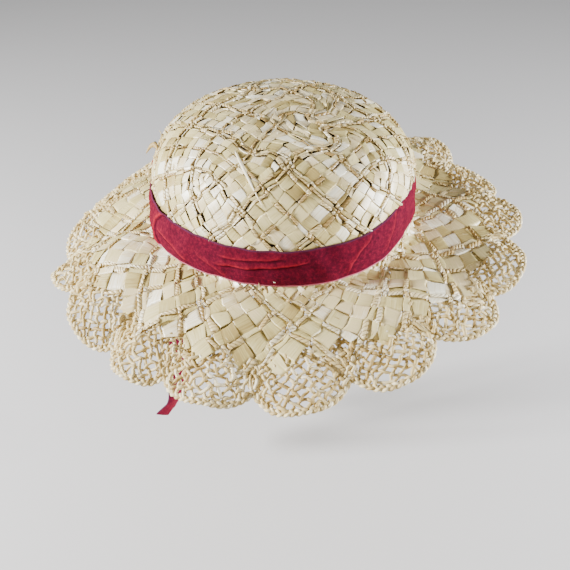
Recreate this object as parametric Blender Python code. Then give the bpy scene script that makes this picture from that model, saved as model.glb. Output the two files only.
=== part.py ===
"""A woven straw sun hat: domed crown, ruffled brim with pierced scallops, plaited edge, velvet ribbon.

The origin is the centre of the head opening, in the plane where the crown meets the brim.
The wearer looks along -Y, +X is the wearer's left, and +Z is up. Lengths are in metres.
"""
import math

import bmesh
import bpy
import numpy as np

# Crown
crown_half_length = 0.098       # centre to the outer face, front and back
crown_half_width = 0.090        # centre to the outer face, left and right
crown_height = 0.0806
straw_wall = 0.002
crown_side_power = 2.7          # how square the shoulder is along the radius
crown_top_power = 4.4           # how long the side stays upright
round_segments = 56
crown_rings = 8

# Brim
notch_reach = 0.067             # from the crown's outer face to the notches between scallops
tip_reach = 0.0808              # from the crown's outer face to the scallop tips
brim_droop = 0.040              # a drop of 1 in the scallop table
brim_ruffle = 0.010             # a lift of 1 in the ruffle table
droop_power = 1.45              # the brim leaves the crown level and bends down towards its edge
lobe_power = 2.3                # how round a scallop is
lattice_reach = 0.0575          # from the crown's outer face to the lattice, at a scallop's middle
lattice_dip = 0.0045            # how much nearer the crown the lattice starts at a notch
crossing_share = 0.43           # where its strands cross, between its start and the plaited edge
strand_width = 0.0034           # what is left standing between two openings of the lattice
columns_per_scallop = 8
edge_steps_per_opening = 3
flat_rings = 4

# Plaited edge
braid_radius = 0.0023
braid_sides = 4
edge_clearance = 0.00045        # from the plaited edge to the lattice

# Velvet ribbon
ribbon_width = 0.0285
ribbon_thickness = 0.0012
ribbon_seat_height = 0.0016     # from the crown's foot up to the ribbon's lower edge
ribbon_stand_off = 0.006        # a stand-off of 1 in the ribbon table
tail_reach = 0.0045             # from the band's outer face to the middle of the slot
tail_spacing = 0.0006           # between the two tails' edges in the slot
tail_drop = 0.240               # from the crown's foot down to the longer tail's end
tail_drift = 0.045              # a drift of 1 in the tail table
slot_width = 0.031
slot_depth = 0.0072             # along the radius
knot_width = 0.024
knot_height_share = 0.92        # of the ribbon's width
knot_depth = 0.009
knot_edge = 0.0015              # thickness left round the knot's rim
knot_waist = 0.12               # how much narrower its top and bottom are
tie_angle = 110.0               # degrees round the hat, towards the wearer's right at the back

fitting_gap = 0.0003

# One row a scallop, from its first notch on: where that notch stands, then how far the notch and
# the scallop's tip reach out, as shares of notch_reach and tip_reach, and how far they drop, as
# shares of brim_droop.
scallops = [
    # angle, notch out, notch drop, tip out, tip drop
    (-15.6, 1.00, 0.37, 1.00, 0.50),
    (-36.9, 1.00, 0.31, 0.98, 0.25),
    (-58.0, 0.96, 0.24, 0.98, 0.18),
    (-80.6, 0.98, 0.31, 1.01, 0.31),
    (-101.7, 0.96, 0.25, 1.03, 0.44),
    (-122.3, 0.98, 0.51, 1.03, 0.70),
    (-144.2, 1.00, 0.72, 1.00, 0.75),
    (-166.3, 1.03, 0.78, 1.00, 0.83),
    (-184.6, 1.00, 0.84, 0.99, 0.75),
    (-206.2, 1.02, 0.56, 1.01, 0.70),
    (-226.5, 1.05, 0.88, 0.98, 0.91),
    (-248.7, 1.06, 0.78, 0.98, 0.95),
    (-269.9, 1.02, 0.66, 1.00, 0.80),
    (-291.0, 1.00, 0.60, 1.00, 0.72),
    (-312.2, 1.00, 0.46, 0.99, 0.52),
    (-333.3, 1.00, 0.46, 1.00, 0.60),
    (-354.5, 1.00, 0.36, 1.02, 0.30),
]

# Soft waves of the brim between the crown and the lattice.
ruffles = [
    # angle, lift as a share of brim_ruffle, half spread in degrees
    (-27.0, -0.90, 11.0),
    (-48.0, 0.35, 10.0),
    (-74.0, -0.30, 10.0),
    (-100.0, 0.40, 13.0),
    (-132.0, 0.10, 12.0),
    (-208.0, 0.60, 10.0),
    (-230.0, -0.45, 9.0),
    (-300.0, 0.35, 14.0),
    (-335.0, -0.40, 12.0),
]

# The ribbon at a few angles: its lower edge's lift and its stand-off from the crown.
ribbon_sections = [
    # angle, lift as a share of ribbon_width, stand-off as a share of ribbon_stand_off
    (-345.0, 0.06, 0.05),
    (-290.0, 0.04, 0.05),
    (-250.0, 0.04, 0.05),
    (-215.0, 0.00, 0.30),
    (-196.0, 0.00, 0.60),
    (-180.0, 0.01, 0.35),
    (-160.0, 0.02, 0.08),
    (-135.0, 0.03, 0.05),
    (-112.0, 0.07, 0.10),
    (-95.0, 0.14, 0.22),
    (-78.0, 0.30, 0.05),
    (-50.0, 0.33, 0.05),
    (-15.0, 0.12, 0.05),
]

# How far the ribbon's layers swell outward across its width, as shares of its thickness.
ribbon_folds = [
    # share of the width from the lower edge, swell
    (0.00, 0.20),
    (0.33, 0.90),
    (0.66, 0.70),
    (1.00, 0.00),
]

# The tails from the knot down: share of the way down, width as a share of ribbon_width, drift
# outward and apart as shares of tail_drift, and twist in degrees.
tail_stations = [
    # share down, width, outward, apart, twist
    (0.00, 0.46, 0.00, 0.00, 0.0),
    (0.08, 0.46, 0.00, 0.00, 0.0),
    (0.20, 0.56, 0.01, 0.05, 5.0),
    (0.34, 0.66, 0.01, 0.10, 14.0),
    (0.48, 0.74, -0.01, 0.15, 24.0),
    (0.62, 0.80, -0.03, 0.20, 30.0),
    (0.75, 0.84, -0.02, 0.25, 28.0),
    (0.88, 0.88, 0.08, 0.27, 22.0),
    (1.00, 0.92, 0.40, 0.37, 12.0),
]

straw_colour = (0.80, 0.70, 0.50)
braid_colour = (0.66, 0.50, 0.30)
velvet_colour = (0.42, 0.02, 0.06)


def round_trip(at, angles, values):
    """Smooth curve through values at angles (degrees) that closes on itself after a full turn."""
    order = np.argsort(np.mod(angles, 360.0))
    x = np.mod(angles, 360.0)[order]
    y = np.asarray(values)[order]
    x = np.concatenate([x[-2:] - 360.0, x, x[:2] + 360.0])
    y = np.concatenate([y[-2:], y, y[:2]])
    slope = np.gradient(y, x)
    at = np.mod(at, 360.0)
    left = np.clip(np.searchsorted(x, at, side="right") - 1, 0, len(x) - 2)
    step = x[left + 1] - x[left]
    s = (at - x[left]) / step
    return ((2 * s ** 3 - 3 * s ** 2 + 1) * y[left] + (s ** 3 - 2 * s ** 2 + s) * step * slope[left]
            + (3 * s ** 2 - 2 * s ** 3) * y[left + 1] + (s ** 3 - s ** 2) * step * slope[left + 1])


def oval(angle, inset=0.0):
    """Radius of the crown's oval at an angle in degrees, with both half axes less the inset."""
    turn = np.radians(angle)
    across = crown_half_width - inset
    along = crown_half_length - inset
    return across * along / np.hypot(along * np.cos(turn), across * np.sin(turn))


def crown_share(height, inset=0.0):
    """Share of the oval that the crown keeps at a height above its foot."""
    rise = np.clip(height / (crown_height - inset), 0.0, 1.0)
    return (1.0 - rise ** crown_top_power) ** (1.0 / crown_side_power)


def place(angle, radius, height):
    """World points from an angle in degrees, a radius and a height."""
    turn = np.radians(angle)
    return np.stack(np.broadcast_arrays(radius * np.cos(turn), radius * np.sin(turn), height), axis=-1)


scallop_table = np.array(scallops)
notch_angles = scallop_table[:, 0]
next_angles = np.append(notch_angles[1:], notch_angles[0] - 360.0)
tip_angles = 0.5 * (notch_angles + next_angles)
notch_out = notch_reach * scallop_table[:, 1]
tip_out = tip_reach * scallop_table[:, 3]


def edge_angle(scallop, share):
    """Angle at a share of the way along one scallop."""
    return notch_angles[scallop] + share * (next_angles[scallop] - notch_angles[scallop])


def edge_out(scallop, share):
    """How far the plaited edge's middle stands out from the crown along one scallop."""
    following = (scallop + 1) % len(scallops)
    base = notch_out[scallop] + share * (notch_out[following] - notch_out[scallop])
    middle = 0.5 * (notch_out[scallop] + notch_out[following])
    return base + (tip_out[scallop] - middle) * (1.0 - abs(2.0 * share - 1.0) ** lobe_power)


def lattice_out(share):
    """How far out the lattice starts at a share of the way along a scallop."""
    return lattice_reach - lattice_dip * abs(2.0 * share - 1.0) ** 2


def brim_height(angle, radius):
    """Height of the middle of the straw at an angle and a radius, drooping and ruffled."""
    out = np.maximum(radius - oval(angle), 0.0) / notch_reach
    notch_drop = -brim_droop * scallop_table[:, 2] / (notch_out / notch_reach) ** droop_power
    tip_drop = -brim_droop * scallop_table[:, 4] / (tip_out / notch_reach) ** droop_power
    drop_angles = np.concatenate([notch_angles, tip_angles])
    drop = round_trip(angle, drop_angles, np.concatenate([notch_drop, tip_drop]))
    swell = np.sin(np.pi * np.clip(out, 0.0, 1.0)) ** 2
    wave = np.zeros_like(out)
    for ruffle_angle, lift, spread in ruffles:
        away = np.mod(angle - ruffle_angle + 180.0, 360.0) - 180.0
        wave = wave + brim_ruffle * lift * np.exp(-(away / spread) ** 2)
    return drop * out ** droop_power + wave * swell - fitting_gap - 0.5 * straw_wall


def material(name, colour, roughness):
    """A plain material with the part's own colour and roughness."""
    finish = bpy.data.materials.new(name)
    finish.use_nodes = True
    shader = finish.node_tree.nodes["Principled BSDF"]
    shader.inputs["Base Color"].default_value = (*colour, 1.0)
    shader.inputs["Roughness"].default_value = roughness
    shader.inputs["Metallic"].default_value = 0.0
    return finish


def solid(name, points, faces, finish, smooth=True):
    """A named object from points and faces, with its faces turned outward."""
    mesh = bpy.data.meshes.new(name)
    mesh.from_pydata([tuple(p) for p in points], [], faces)
    mesh.materials.append(finish)
    work = bmesh.new()
    work.from_mesh(mesh)
    bmesh.ops.recalc_face_normals(work, faces=work.faces)
    work.to_mesh(mesh)
    work.free()
    if smooth:
        mesh.shade_smooth()
        mesh.set_sharp_from_angle(angle=math.radians(50.0))
    piece = bpy.data.objects.new(name, mesh)
    bpy.context.scene.collection.objects.link(piece)
    return piece


def ring_faces(first, second, count):
    """Quads between two closed rings of points, from the index of each ring's first point."""
    after = [(i + 1) % count for i in range(count)]
    return [(first + i, first + after[i], second + after[i], second + i) for i in range(count)]


def make_crown(straw):
    """A domed shell: the oval shrinks to the pole on the outside and again, one wall in, inside."""
    angles = np.arange(round_segments) * 360.0 / round_segments
    lean = 0.5 * np.pi * np.linspace(0.0, 1.0, crown_rings + 1)[:-1]
    points = []
    faces = []
    for inset in (0.0, straw_wall):
        start = len(points)
        height = (crown_height - inset) * np.sin(lean) ** (2.0 / crown_top_power)
        share = np.cos(lean) ** (2.0 / crown_side_power)
        for level, kept in zip(height, share):
            points.extend(place(angles, oval(angles, inset) * kept, level))
        points.append((0.0, 0.0, crown_height - inset))
        for ring in range(crown_rings - 1):
            faces.extend(ring_faces(start + ring * round_segments, start + (ring + 1) * round_segments,
                                    round_segments))
        last = start + (crown_rings - 1) * round_segments
        pole = len(points) - 1
        faces.extend((last + i, last + (i + 1) % round_segments, pole) for i in range(round_segments))
    inner_foot = len(points) // 2
    faces.extend(ring_faces(0, inner_foot, round_segments))
    return solid("crown", points, faces, straw)


def edge_path(steps):
    """Angles and radii of the plaited edge's middle, with so many steps along each scallop."""
    angle = np.array([edge_angle(k, j / steps) for k in range(len(scallops)) for j in range(steps)])
    out = np.array([edge_out(k, j / steps) for k in range(len(scallops)) for j in range(steps)])
    return angle, oval(angle) + out


def edge_mitres(flat):
    """Unit direction pointing out of a closed plan outline at each point, and its mitre stretch."""
    before = flat - np.roll(flat, 1, axis=0)
    after = np.roll(flat, -1, axis=0) - flat
    before = before / np.linalg.norm(before, axis=1, keepdims=True)
    after = after / np.linalg.norm(after, axis=1, keepdims=True)
    along = before + after
    along = along / np.linalg.norm(along, axis=1, keepdims=True)
    outward = np.stack([-along[:, 1], along[:, 0]], axis=1)
    stretch = 1.0 / np.sum(along * after, axis=1)
    return outward, stretch


def slot_reach():
    """Radius of the middle of the slot that the ribbon's tails pass through."""
    return oval(tie_angle) + ribbon_thickness + 2.0 * fitting_gap + tail_reach


def make_brim(straw):
    """A ruffled sheet from the head opening to the plaited edge, with the lattice cut through."""
    sheet = bmesh.new()
    count = len(scallops)
    columns = count * columns_per_scallop
    column_angle = np.array([edge_angle(k, j / columns_per_scallop)
                             for k in range(count) for j in range(columns_per_scallop)])

    edge_steps = columns_per_scallop // 2 * edge_steps_per_opening
    path_angle, path_radius = edge_path(edge_steps)
    path = place(path_angle, path_radius, 0.0)[:, :2]
    outward, stretch = edge_mitres(path)
    inset = braid_radius + edge_clearance
    border = path - outward * (inset * stretch)[:, None]
    border_angle = np.degrees(np.arctan2(border[:, 1], border[:, 0]))
    border_radius = np.linalg.norm(border, axis=1)

    def row(angle, radius):
        """One ring of vertices on the straw's middle surface."""
        return [sheet.verts.new(p) for p in place(angle, radius, brim_height(angle, radius))]

    slot_middle = slot_reach()
    reaches = [-straw_wall,
               slot_middle - oval(tie_angle) - 0.5 * slot_depth,
               slot_middle - oval(tie_angle) + 0.5 * slot_depth]
    column_lattice = np.array([lattice_out(j / columns_per_scallop)
                               for k in range(count) for j in range(columns_per_scallop)])
    for share in np.linspace(0.0, 1.0, flat_rings)[1:]:
        reaches.append(reaches[2] + share * (column_lattice - reaches[2]))
    rings = [row(column_angle, oval(column_angle) + reach) for reach in reaches]
    border_ring = row(border_angle, border_radius)
    lattice_ring = rings[-1]

    slot_half = math.degrees(0.5 * slot_width / slot_middle)
    for level in range(len(rings) - 1):
        for i in range(columns):
            j = (i + 1) % columns
            middle = 0.5 * (column_angle[i] + (column_angle[j] - 360.0 * (j == 0)))
            away = abs((middle - tie_angle + 180.0) % 360.0 - 180.0)
            if level == 1 and away < slot_half:
                continue
            sheet.faces.new((rings[level][i], rings[level][j], rings[level + 1][j], rings[level + 1][i]))

    crossings = {}
    for i in range(1, columns, 2):
        scallop, step = divmod(i, columns_per_scallop)
        beyond = border_ring[scallop * edge_steps + round(step * edge_steps / columns_per_scallop)].co
        middle = lattice_ring[i].co.xy.lerp(beyond.xy, crossing_share)
        angle = np.array([math.degrees(math.atan2(middle.y, middle.x))])
        crossings[i] = row(angle, np.array([middle.length]))[0]

    openings = []
    for i in range(0, columns, 2):
        left = crossings[(i - 1) % columns]
        right = crossings[i + 1]
        after = (i + 2) % columns
        scallop, step = divmod(i, columns_per_scallop)
        first = scallop * edge_steps + round(step * edge_steps / columns_per_scallop)
        rim = [border_ring[(first + k) % len(border_ring)] for k in range(edge_steps_per_opening + 1)]
        sheet.faces.new((lattice_ring[i], lattice_ring[i + 1], lattice_ring[after], right))
        diamond = sheet.faces.new((lattice_ring[i], right, rim[0], left))
        if step:
            openings.append(diamond)
        openings.append(sheet.faces.new([right] + rim[::-1]))
    bmesh.ops.recalc_face_normals(sheet, faces=sheet.faces)
    sheet.normal_update()
    bmesh.ops.inset_individual(sheet, faces=openings, thickness=0.5 * strand_width, use_even_offset=True)
    bmesh.ops.delete(sheet, geom=openings, context="FACES_ONLY")

    mesh = bpy.data.meshes.new("brim")
    sheet.to_mesh(mesh)
    sheet.free()
    mesh.materials.append(straw)
    piece = bpy.data.objects.new("brim", mesh)
    bpy.context.scene.collection.objects.link(piece)
    wall = piece.modifiers.new("straw wall", "SOLIDIFY")
    wall.thickness = straw_wall
    wall.offset = 0.0
    wall.use_even_offset = False
    return piece


def make_edge_braid(straw):
    """A closed tube along the scallops, mitred at the notches."""
    edge_steps = columns_per_scallop // 2 * edge_steps_per_opening
    angle, radius = edge_path(edge_steps)
    middle = place(angle, radius, brim_height(angle, radius))
    outward, stretch = edge_mitres(middle[:, :2])
    points = []
    for side in range(braid_sides):
        turn = 2.0 * math.pi * (side + 0.5) / braid_sides
        flat = middle[:, :2] + outward * (stretch * braid_radius * math.cos(turn))[:, None]
        height = middle[:, 2] + braid_radius * math.sin(turn)
        points.extend(np.column_stack([flat, height]))
    faces = []
    for side in range(braid_sides):
        faces.extend(ring_faces(side * len(angle), (side + 1) % braid_sides * len(angle), len(angle)))
    return solid("edge_braid", points, faces, straw)


def ribbon_place(angle, share, layer):
    """Point of the ribbon at an angle, a share of its width and a distance out from its inner face."""
    table = np.array(ribbon_sections)
    lift = ribbon_width * round_trip(angle, table[:, 0], table[:, 1])
    stand_off = ribbon_stand_off * round_trip(angle, table[:, 0], table[:, 2])
    height = ribbon_seat_height + lift + share * ribbon_width
    swell = np.interp(share, *np.array(ribbon_folds).T) * ribbon_thickness
    radius = oval(angle) * crown_share(height) + fitting_gap + stand_off * (1.0 - share) + layer
    return place(angle, radius + (swell if layer else 0.0), height)


def make_ribbon_band(velvet):
    """The velvet band, a closed loop that follows the crown and swells where it is folded."""
    angles = np.arange(round_segments) * 360.0 / round_segments
    shares = [row[0] for row in ribbon_folds]
    section = [(share, ribbon_thickness) for share in shares] + [(share, 0.0) for share in shares[::-1]]
    points = []
    faces = []
    for share, layer in section:
        points.extend(ribbon_place(angles, share, layer))
    for row in range(len(section)):
        following = (row + 1) % len(section)
        faces.extend(ring_faces(row * round_segments, following * round_segments, round_segments))
    return solid("ribbon_band", points, faces, velvet)


def make_ribbon_knot(velvet):
    """A plain pad of folded ribbon on the band, its back face following the band's curve."""
    across = 6
    up = 4
    half_angle = math.degrees(0.5 * knot_width / oval(tie_angle))
    points = []
    index = {}
    for side in (0, 1):
        for j in range(up + 1):
            for i in range(across + 1):
                u = 2.0 * i / across - 1.0
                v = 2.0 * j / up - 1.0
                angle = tie_angle + half_angle * u * (1.0 - knot_waist * v * v)
                share = 0.5 + 0.5 * knot_height_share * v * (1.0 - knot_waist * u * u)
                bulge = (1.0 - u ** 4) * (1.0 - v ** 4)
                base = ribbon_place(np.array([angle]), share, ribbon_thickness)[0]
                lift = fitting_gap * 2.0 + side * (knot_edge + (knot_depth - knot_edge) * bulge)
                turn = math.radians(angle)
                index[side, j, i] = len(points)
                points.append(base + lift * np.array([math.cos(turn), math.sin(turn), 0.0]))
    faces = []
    for side in (0, 1):
        for j in range(up):
            for i in range(across):
                faces.append((index[side, j, i], index[side, j, i + 1],
                              index[side, j + 1, i + 1], index[side, j + 1, i]))
    for j in range(up):
        for i in (0, across):
            faces.append((index[0, j, i], index[0, j + 1, i], index[1, j + 1, i], index[1, j, i]))
    for i in range(across):
        for j in (0, up):
            faces.append((index[0, j, i], index[0, j, i + 1], index[1, j, i + 1], index[1, j, i]))
    return solid("ribbon_knot", points, faces, velvet)


def make_ribbon_tail(name, velvet, side, length_share):
    """One free end: a strip that starts under the knot, goes through the slot and hangs."""
    table = np.array(tail_stations)
    down = np.linspace(0.0, 1.0, 2 * len(table) - 1)
    width, outward, apart, twist = (np.interp(down, table[:, 0], column) for column in table.T[1:])
    width = width * ribbon_width
    turn = math.radians(tie_angle)
    out_way = np.array([math.cos(turn), math.sin(turn), 0.0])
    side_way = np.array([-math.sin(turn), math.cos(turn), 0.0])
    start = ribbon_seat_height - 2.0 * fitting_gap
    height = start - down * (tail_drop * length_share + start)
    reach = slot_reach() + tail_drift * outward * length_share
    drift = side * (0.5 * (tail_spacing + width[0]) + tail_drift * apart)
    points = []
    for z, r, d, wide, angle in zip(height, reach, drift, width, np.radians(twist)):
        middle = out_way * r + side_way * d + np.array([0.0, 0.0, z])
        across = side_way * math.cos(angle) + side * out_way * math.sin(angle)
        through = out_way * math.cos(angle) - side * side_way * math.sin(angle)
        for u, w in ((-1, -1), (1, -1), (1, 1), (-1, 1)):
            points.append(middle + 0.5 * wide * u * across + 0.5 * ribbon_thickness * w * through)
    faces = []
    stations = len(down)
    for i in range(stations - 1):
        for k in range(4):
            here = 4 * i + k
            beside = 4 * i + (k + 1) % 4
            faces.append((here, beside, beside + 4, here + 4))
    faces.append((0, 1, 2, 3))
    faces.append(tuple(4 * (stations - 1) + k for k in range(4)))
    return solid(name, points, faces, velvet)


for old in list(bpy.data.objects):
    bpy.data.objects.remove(old, do_unlink=True)

palm_straw = material("palm straw", straw_colour, 0.6)
braid_straw = material("plaited straw", braid_colour, 0.6)
crimson_velvet = material("crimson velvet", velvet_colour, 0.9)

make_crown(palm_straw)
make_brim(palm_straw)
make_edge_braid(braid_straw)
make_ribbon_band(crimson_velvet)
make_ribbon_knot(crimson_velvet)
make_ribbon_tail("ribbon_tail_right", crimson_velvet, 1.0, 1.0)
make_ribbon_tail("ribbon_tail_left", crimson_velvet, -1.0, 0.93)
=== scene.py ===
"""A hand-woven palm straw sun hat with a crimson velvet ribbon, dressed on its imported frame."""

import math

import bmesh
import bpy
import numpy as np
from mathutils import Matrix, Vector


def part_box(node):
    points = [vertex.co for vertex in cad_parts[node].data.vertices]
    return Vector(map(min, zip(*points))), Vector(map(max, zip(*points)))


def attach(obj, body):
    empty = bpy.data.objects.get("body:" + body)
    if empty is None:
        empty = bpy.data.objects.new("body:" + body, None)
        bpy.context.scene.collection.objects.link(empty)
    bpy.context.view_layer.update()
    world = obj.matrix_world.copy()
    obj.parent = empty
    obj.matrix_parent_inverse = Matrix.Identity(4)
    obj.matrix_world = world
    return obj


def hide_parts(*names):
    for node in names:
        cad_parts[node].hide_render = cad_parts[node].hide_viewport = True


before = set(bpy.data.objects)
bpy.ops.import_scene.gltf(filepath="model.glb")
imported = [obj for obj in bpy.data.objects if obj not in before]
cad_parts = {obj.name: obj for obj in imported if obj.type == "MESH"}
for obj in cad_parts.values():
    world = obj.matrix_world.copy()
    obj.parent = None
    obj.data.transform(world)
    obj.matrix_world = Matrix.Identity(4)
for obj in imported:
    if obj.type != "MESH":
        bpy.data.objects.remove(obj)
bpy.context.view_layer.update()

# The set: a pale floor below the hanging ribbon, the camera above the hat's right front and tipped a
# little, a window light on the camera's left, a low one on its right and a weak warm fill beside it.
camera_place = Vector((-0.3939, -0.3939, 0.3693))
camera_target = Vector((-0.0017, 0.0017, -0.0711))
camera_tip = -0.0614
camera_lens_mm = 56.84
floor_height = -0.30
floor_half = 4.0


def linear(code):
    """Linear RGBA of an sRGB hex colour: each channel over 0.04045 is ((c + 0.055) / 1.055) ** 2.4."""
    channels = [int(code[i:i + 2], 16) / 255.0 for i in (1, 3, 5)]
    return tuple(c / 12.92 if c <= 0.04045 else ((c + 0.055) / 1.055) ** 2.4 for c in channels) + (1.0,)


def add(tree, kind, properties, inputs):
    """Adds a node, sets its properties, then gives each named input a value or a link."""
    node = tree.nodes.new(kind)
    for name, value in properties.items():
        setattr(node, name, value)
    for name, value in inputs.items():
        if isinstance(value, bpy.types.NodeSocket):
            tree.links.new(value, node.inputs[name])
        else:
            node.inputs[name].default_value = value
    return node


def new_finish(name):
    """An empty node material with its Principled shader."""
    finish = bpy.data.materials.new(name)
    finish.use_nodes = True
    return finish, finish.node_tree, finish.node_tree.nodes["Principled BSDF"]


forward = (camera_target - camera_place).normalized()
right = forward.cross(Vector((0.0, 0.0, 1.0))).normalized()
up = right.cross(forward)
tipped_right = math.cos(camera_tip) * right + math.sin(camera_tip) * up
tipped_up = math.cos(camera_tip) * up - math.sin(camera_tip) * right
camera = bpy.data.objects.new("camera", bpy.data.cameras.new("camera"))
camera.data.lens = camera_lens_mm
camera.data.sensor_width = 36.0
camera.data.clip_start = 0.01
camera.matrix_world = Matrix.Translation(camera_place) @ Matrix(
    (tipped_right, tipped_up, -forward)).transposed().to_4x4()
bpy.context.scene.collection.objects.link(camera)
bpy.context.scene.camera = camera

lights = [
    # name, place, size, watts, colour
    ("window light", (-1.02, 0.84, 0.46), 0.30, 81.0, "#F8F9FF"),
    ("low side light", (0.72, -1.02, 0.13), 0.45, 63.0, "#F2F5FF"),
    ("room fill", (-0.75, -0.95, 0.60), 1.0, 7.0, "#FFEFCE"),
]
for light_name, place, size, watts, colour in lights:
    lamp = bpy.data.objects.new(light_name, bpy.data.lights.new(light_name, "AREA"))
    lamp.data.size = size
    lamp.data.energy = watts
    lamp.data.color = linear(colour)[:3]
    lamp.location = place
    lamp.rotation_euler = (-Vector(place)).to_track_quat("-Z", "Y").to_euler()
    bpy.context.scene.collection.objects.link(lamp)

world = bpy.data.worlds.new("room")
world.use_nodes = True
world.node_tree.nodes["Background"].inputs["Color"].default_value = linear("#E4E6EA")
world.node_tree.nodes["Background"].inputs["Strength"].default_value = 0.20
bpy.context.scene.world = world

floor_mesh = bpy.data.meshes.new("floor")
floor_corners = [(-floor_half, -floor_half, floor_height), (floor_half, -floor_half, floor_height),
                 (floor_half, floor_half, floor_height), (-floor_half, floor_half, floor_height)]
floor_mesh.from_pydata(floor_corners, [], [(0, 1, 2, 3)])
floor = bpy.data.objects.new("floor", floor_mesh)
bpy.context.scene.collection.objects.link(floor)
floor_paint, tree, shader = new_finish("matt floor paint")
shader.inputs["Base Color"].default_value = linear("#BEBCB8")
shader.inputs["Roughness"].default_value = 0.8
floor_mesh.materials.append(floor_paint)


# The crown is woven on the bias from flat split palm leaf, with pairs of twisted leaf strands
# between the wide strips. It starts as a flat mat at the top, and turns down round four corners.
crown_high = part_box("crown")[1]
half_width = crown_high.x
half_length = crown_high.y
crown_height = crown_high.z
mean_radius = math.sqrt(half_width * half_length)
crown_side_power = 2.7
crown_top_power = 4.4
straw_sink = 0.0006             # the weave's middle lies this far inside the crown's outer face
foot_tuck = 0.0018              # and this much further where the ribbon presses on it
strips_round = 72               # strips of each direction round the crown
strips_per_side = strips_round // 4
corner_arc = 0.082              # from the top of the crown down to where the mat turns its corners
narrow_share = 0.34             # a twisted strand's width beside a flat strip's
crown_chart = "WWnnWWWnnnWWnWWnnW"
leaf_thickness = 0.0003
crown_relief = 0.00075
strand_swell = 0.0007
leaf_cup = 0.00004
leaf_tilt = 0.00070
wander = 0.075                  # sideways wander of a strip, in strip widths
crown_lean = (0.0018, -0.0018)  # how far the worn crown leans over, above the ribbon
lean_from = 0.030
lean_to = 0.060
dip_depth = 0.0020              # a shallow dip of the top on the side it leans to
dip_place = 0.046
dip_spread = 0.026

# The brim carries on from the crown's foot, so its scallops and ruffles are needed from here on.
notch_reach = 0.067
tip_reach = 0.0808
brim_droop = 0.040
brim_ruffle = 0.010
droop_power = 1.45
lobe_power = 2.3
lattice_reach = 0.0575
lattice_dip = 0.0045
brim_middle = -0.0013           # height of the straw's middle where the brim leaves the crown
scallops = np.array([
    # angle, notch out, notch drop, tip out, tip drop
    (-15.6, 1.00, 0.37, 1.00, 0.50),
    (-36.9, 1.00, 0.31, 0.98, 0.25),
    (-58.0, 0.96, 0.24, 0.98, 0.18),
    (-80.6, 0.98, 0.31, 1.01, 0.31),
    (-101.7, 0.96, 0.25, 1.03, 0.44),
    (-122.3, 0.98, 0.51, 1.03, 0.70),
    (-144.2, 1.00, 0.72, 1.00, 0.75),
    (-166.3, 1.03, 0.78, 1.00, 0.83),
    (-184.6, 1.00, 0.84, 0.99, 0.75),
    (-206.2, 1.02, 0.56, 1.01, 0.70),
    (-226.5, 1.05, 0.88, 0.98, 0.91),
    (-248.7, 1.06, 0.78, 0.98, 0.95),
    (-269.9, 1.02, 0.66, 1.00, 0.80),
    (-291.0, 1.00, 0.60, 1.00, 0.72),
    (-312.2, 1.00, 0.46, 0.99, 0.52),
    (-333.3, 1.00, 0.46, 1.00, 0.60),
    (-354.5, 1.00, 0.36, 1.02, 0.30),
])
ruffles = [
    # angle, lift as a share of brim_ruffle, half spread in degrees
    (-27.0, -0.90, 11.0),
    (-48.0, 0.35, 10.0),
    (-74.0, -0.30, 10.0),
    (-100.0, 0.40, 13.0),
    (-132.0, 0.10, 12.0),
    (-208.0, 0.60, 10.0),
    (-230.0, -0.45, 9.0),
    (-300.0, 0.35, 14.0),
    (-335.0, -0.40, 12.0),
]
notch_angles = scallops[:, 0]
next_angles = np.append(notch_angles[1:], notch_angles[0] - 360.0)
notch_out = notch_reach * scallops[:, 1]
tip_out = tip_reach * scallops[:, 3]


def round_trip(at, angles, values):
    """Cubic Hermite curve through values at angles in degrees, closed after a full turn."""
    order = np.argsort(np.mod(angles, 360.0))
    x = np.mod(angles, 360.0)[order]
    y = np.asarray(values)[order]
    x = np.concatenate([x[-2:] - 360.0, x, x[:2] + 360.0])
    y = np.concatenate([y[-2:], y, y[:2]])
    slope = np.gradient(y, x)
    at = np.mod(at, 360.0)
    left = np.clip(np.searchsorted(x, at, side="right") - 1, 0, len(x) - 2)
    step = x[left + 1] - x[left]
    s = (at - x[left]) / step
    return ((2 * s ** 3 - 3 * s ** 2 + 1) * y[left] + (s ** 3 - 2 * s ** 2 + s) * step * slope[left]
            + (3 * s ** 2 - 2 * s ** 3) * y[left + 1] + (s ** 3 - s ** 2) * step * slope[left + 1])


def oval(turn):
    """Radius of the crown's oval at a turn in radians: a b / hypot(b cos, a sin)."""
    return half_width * half_length / np.hypot(half_length * np.cos(turn), half_width * np.sin(turn))


def brim_height(turn, out):
    """Height of the brim: droop times out ** droop_power, plus Gaussian ruffles that swell midway."""
    angle = np.degrees(turn)
    out = np.maximum(out, 0.0) / notch_reach
    notch_drop = -brim_droop * scallops[:, 2] / scallops[:, 1] ** droop_power
    tip_drop = -brim_droop * scallops[:, 4] / (tip_out / notch_reach) ** droop_power
    drop = round_trip(angle, np.concatenate([notch_angles, 0.5 * (notch_angles + next_angles)]),
                      np.concatenate([notch_drop, tip_drop]))
    swell = np.sin(np.pi * np.clip(out, 0.0, 1.0)) ** 2
    wave = np.zeros_like(out)
    for ruffle_angle, lift, spread in ruffles:
        away = np.mod(angle - ruffle_angle + 180.0, 360.0) - 180.0
        wave = wave + brim_ruffle * lift * np.exp(-(away / spread) ** 2)
    return drop * out ** droop_power + wave * swell + brim_middle


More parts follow.
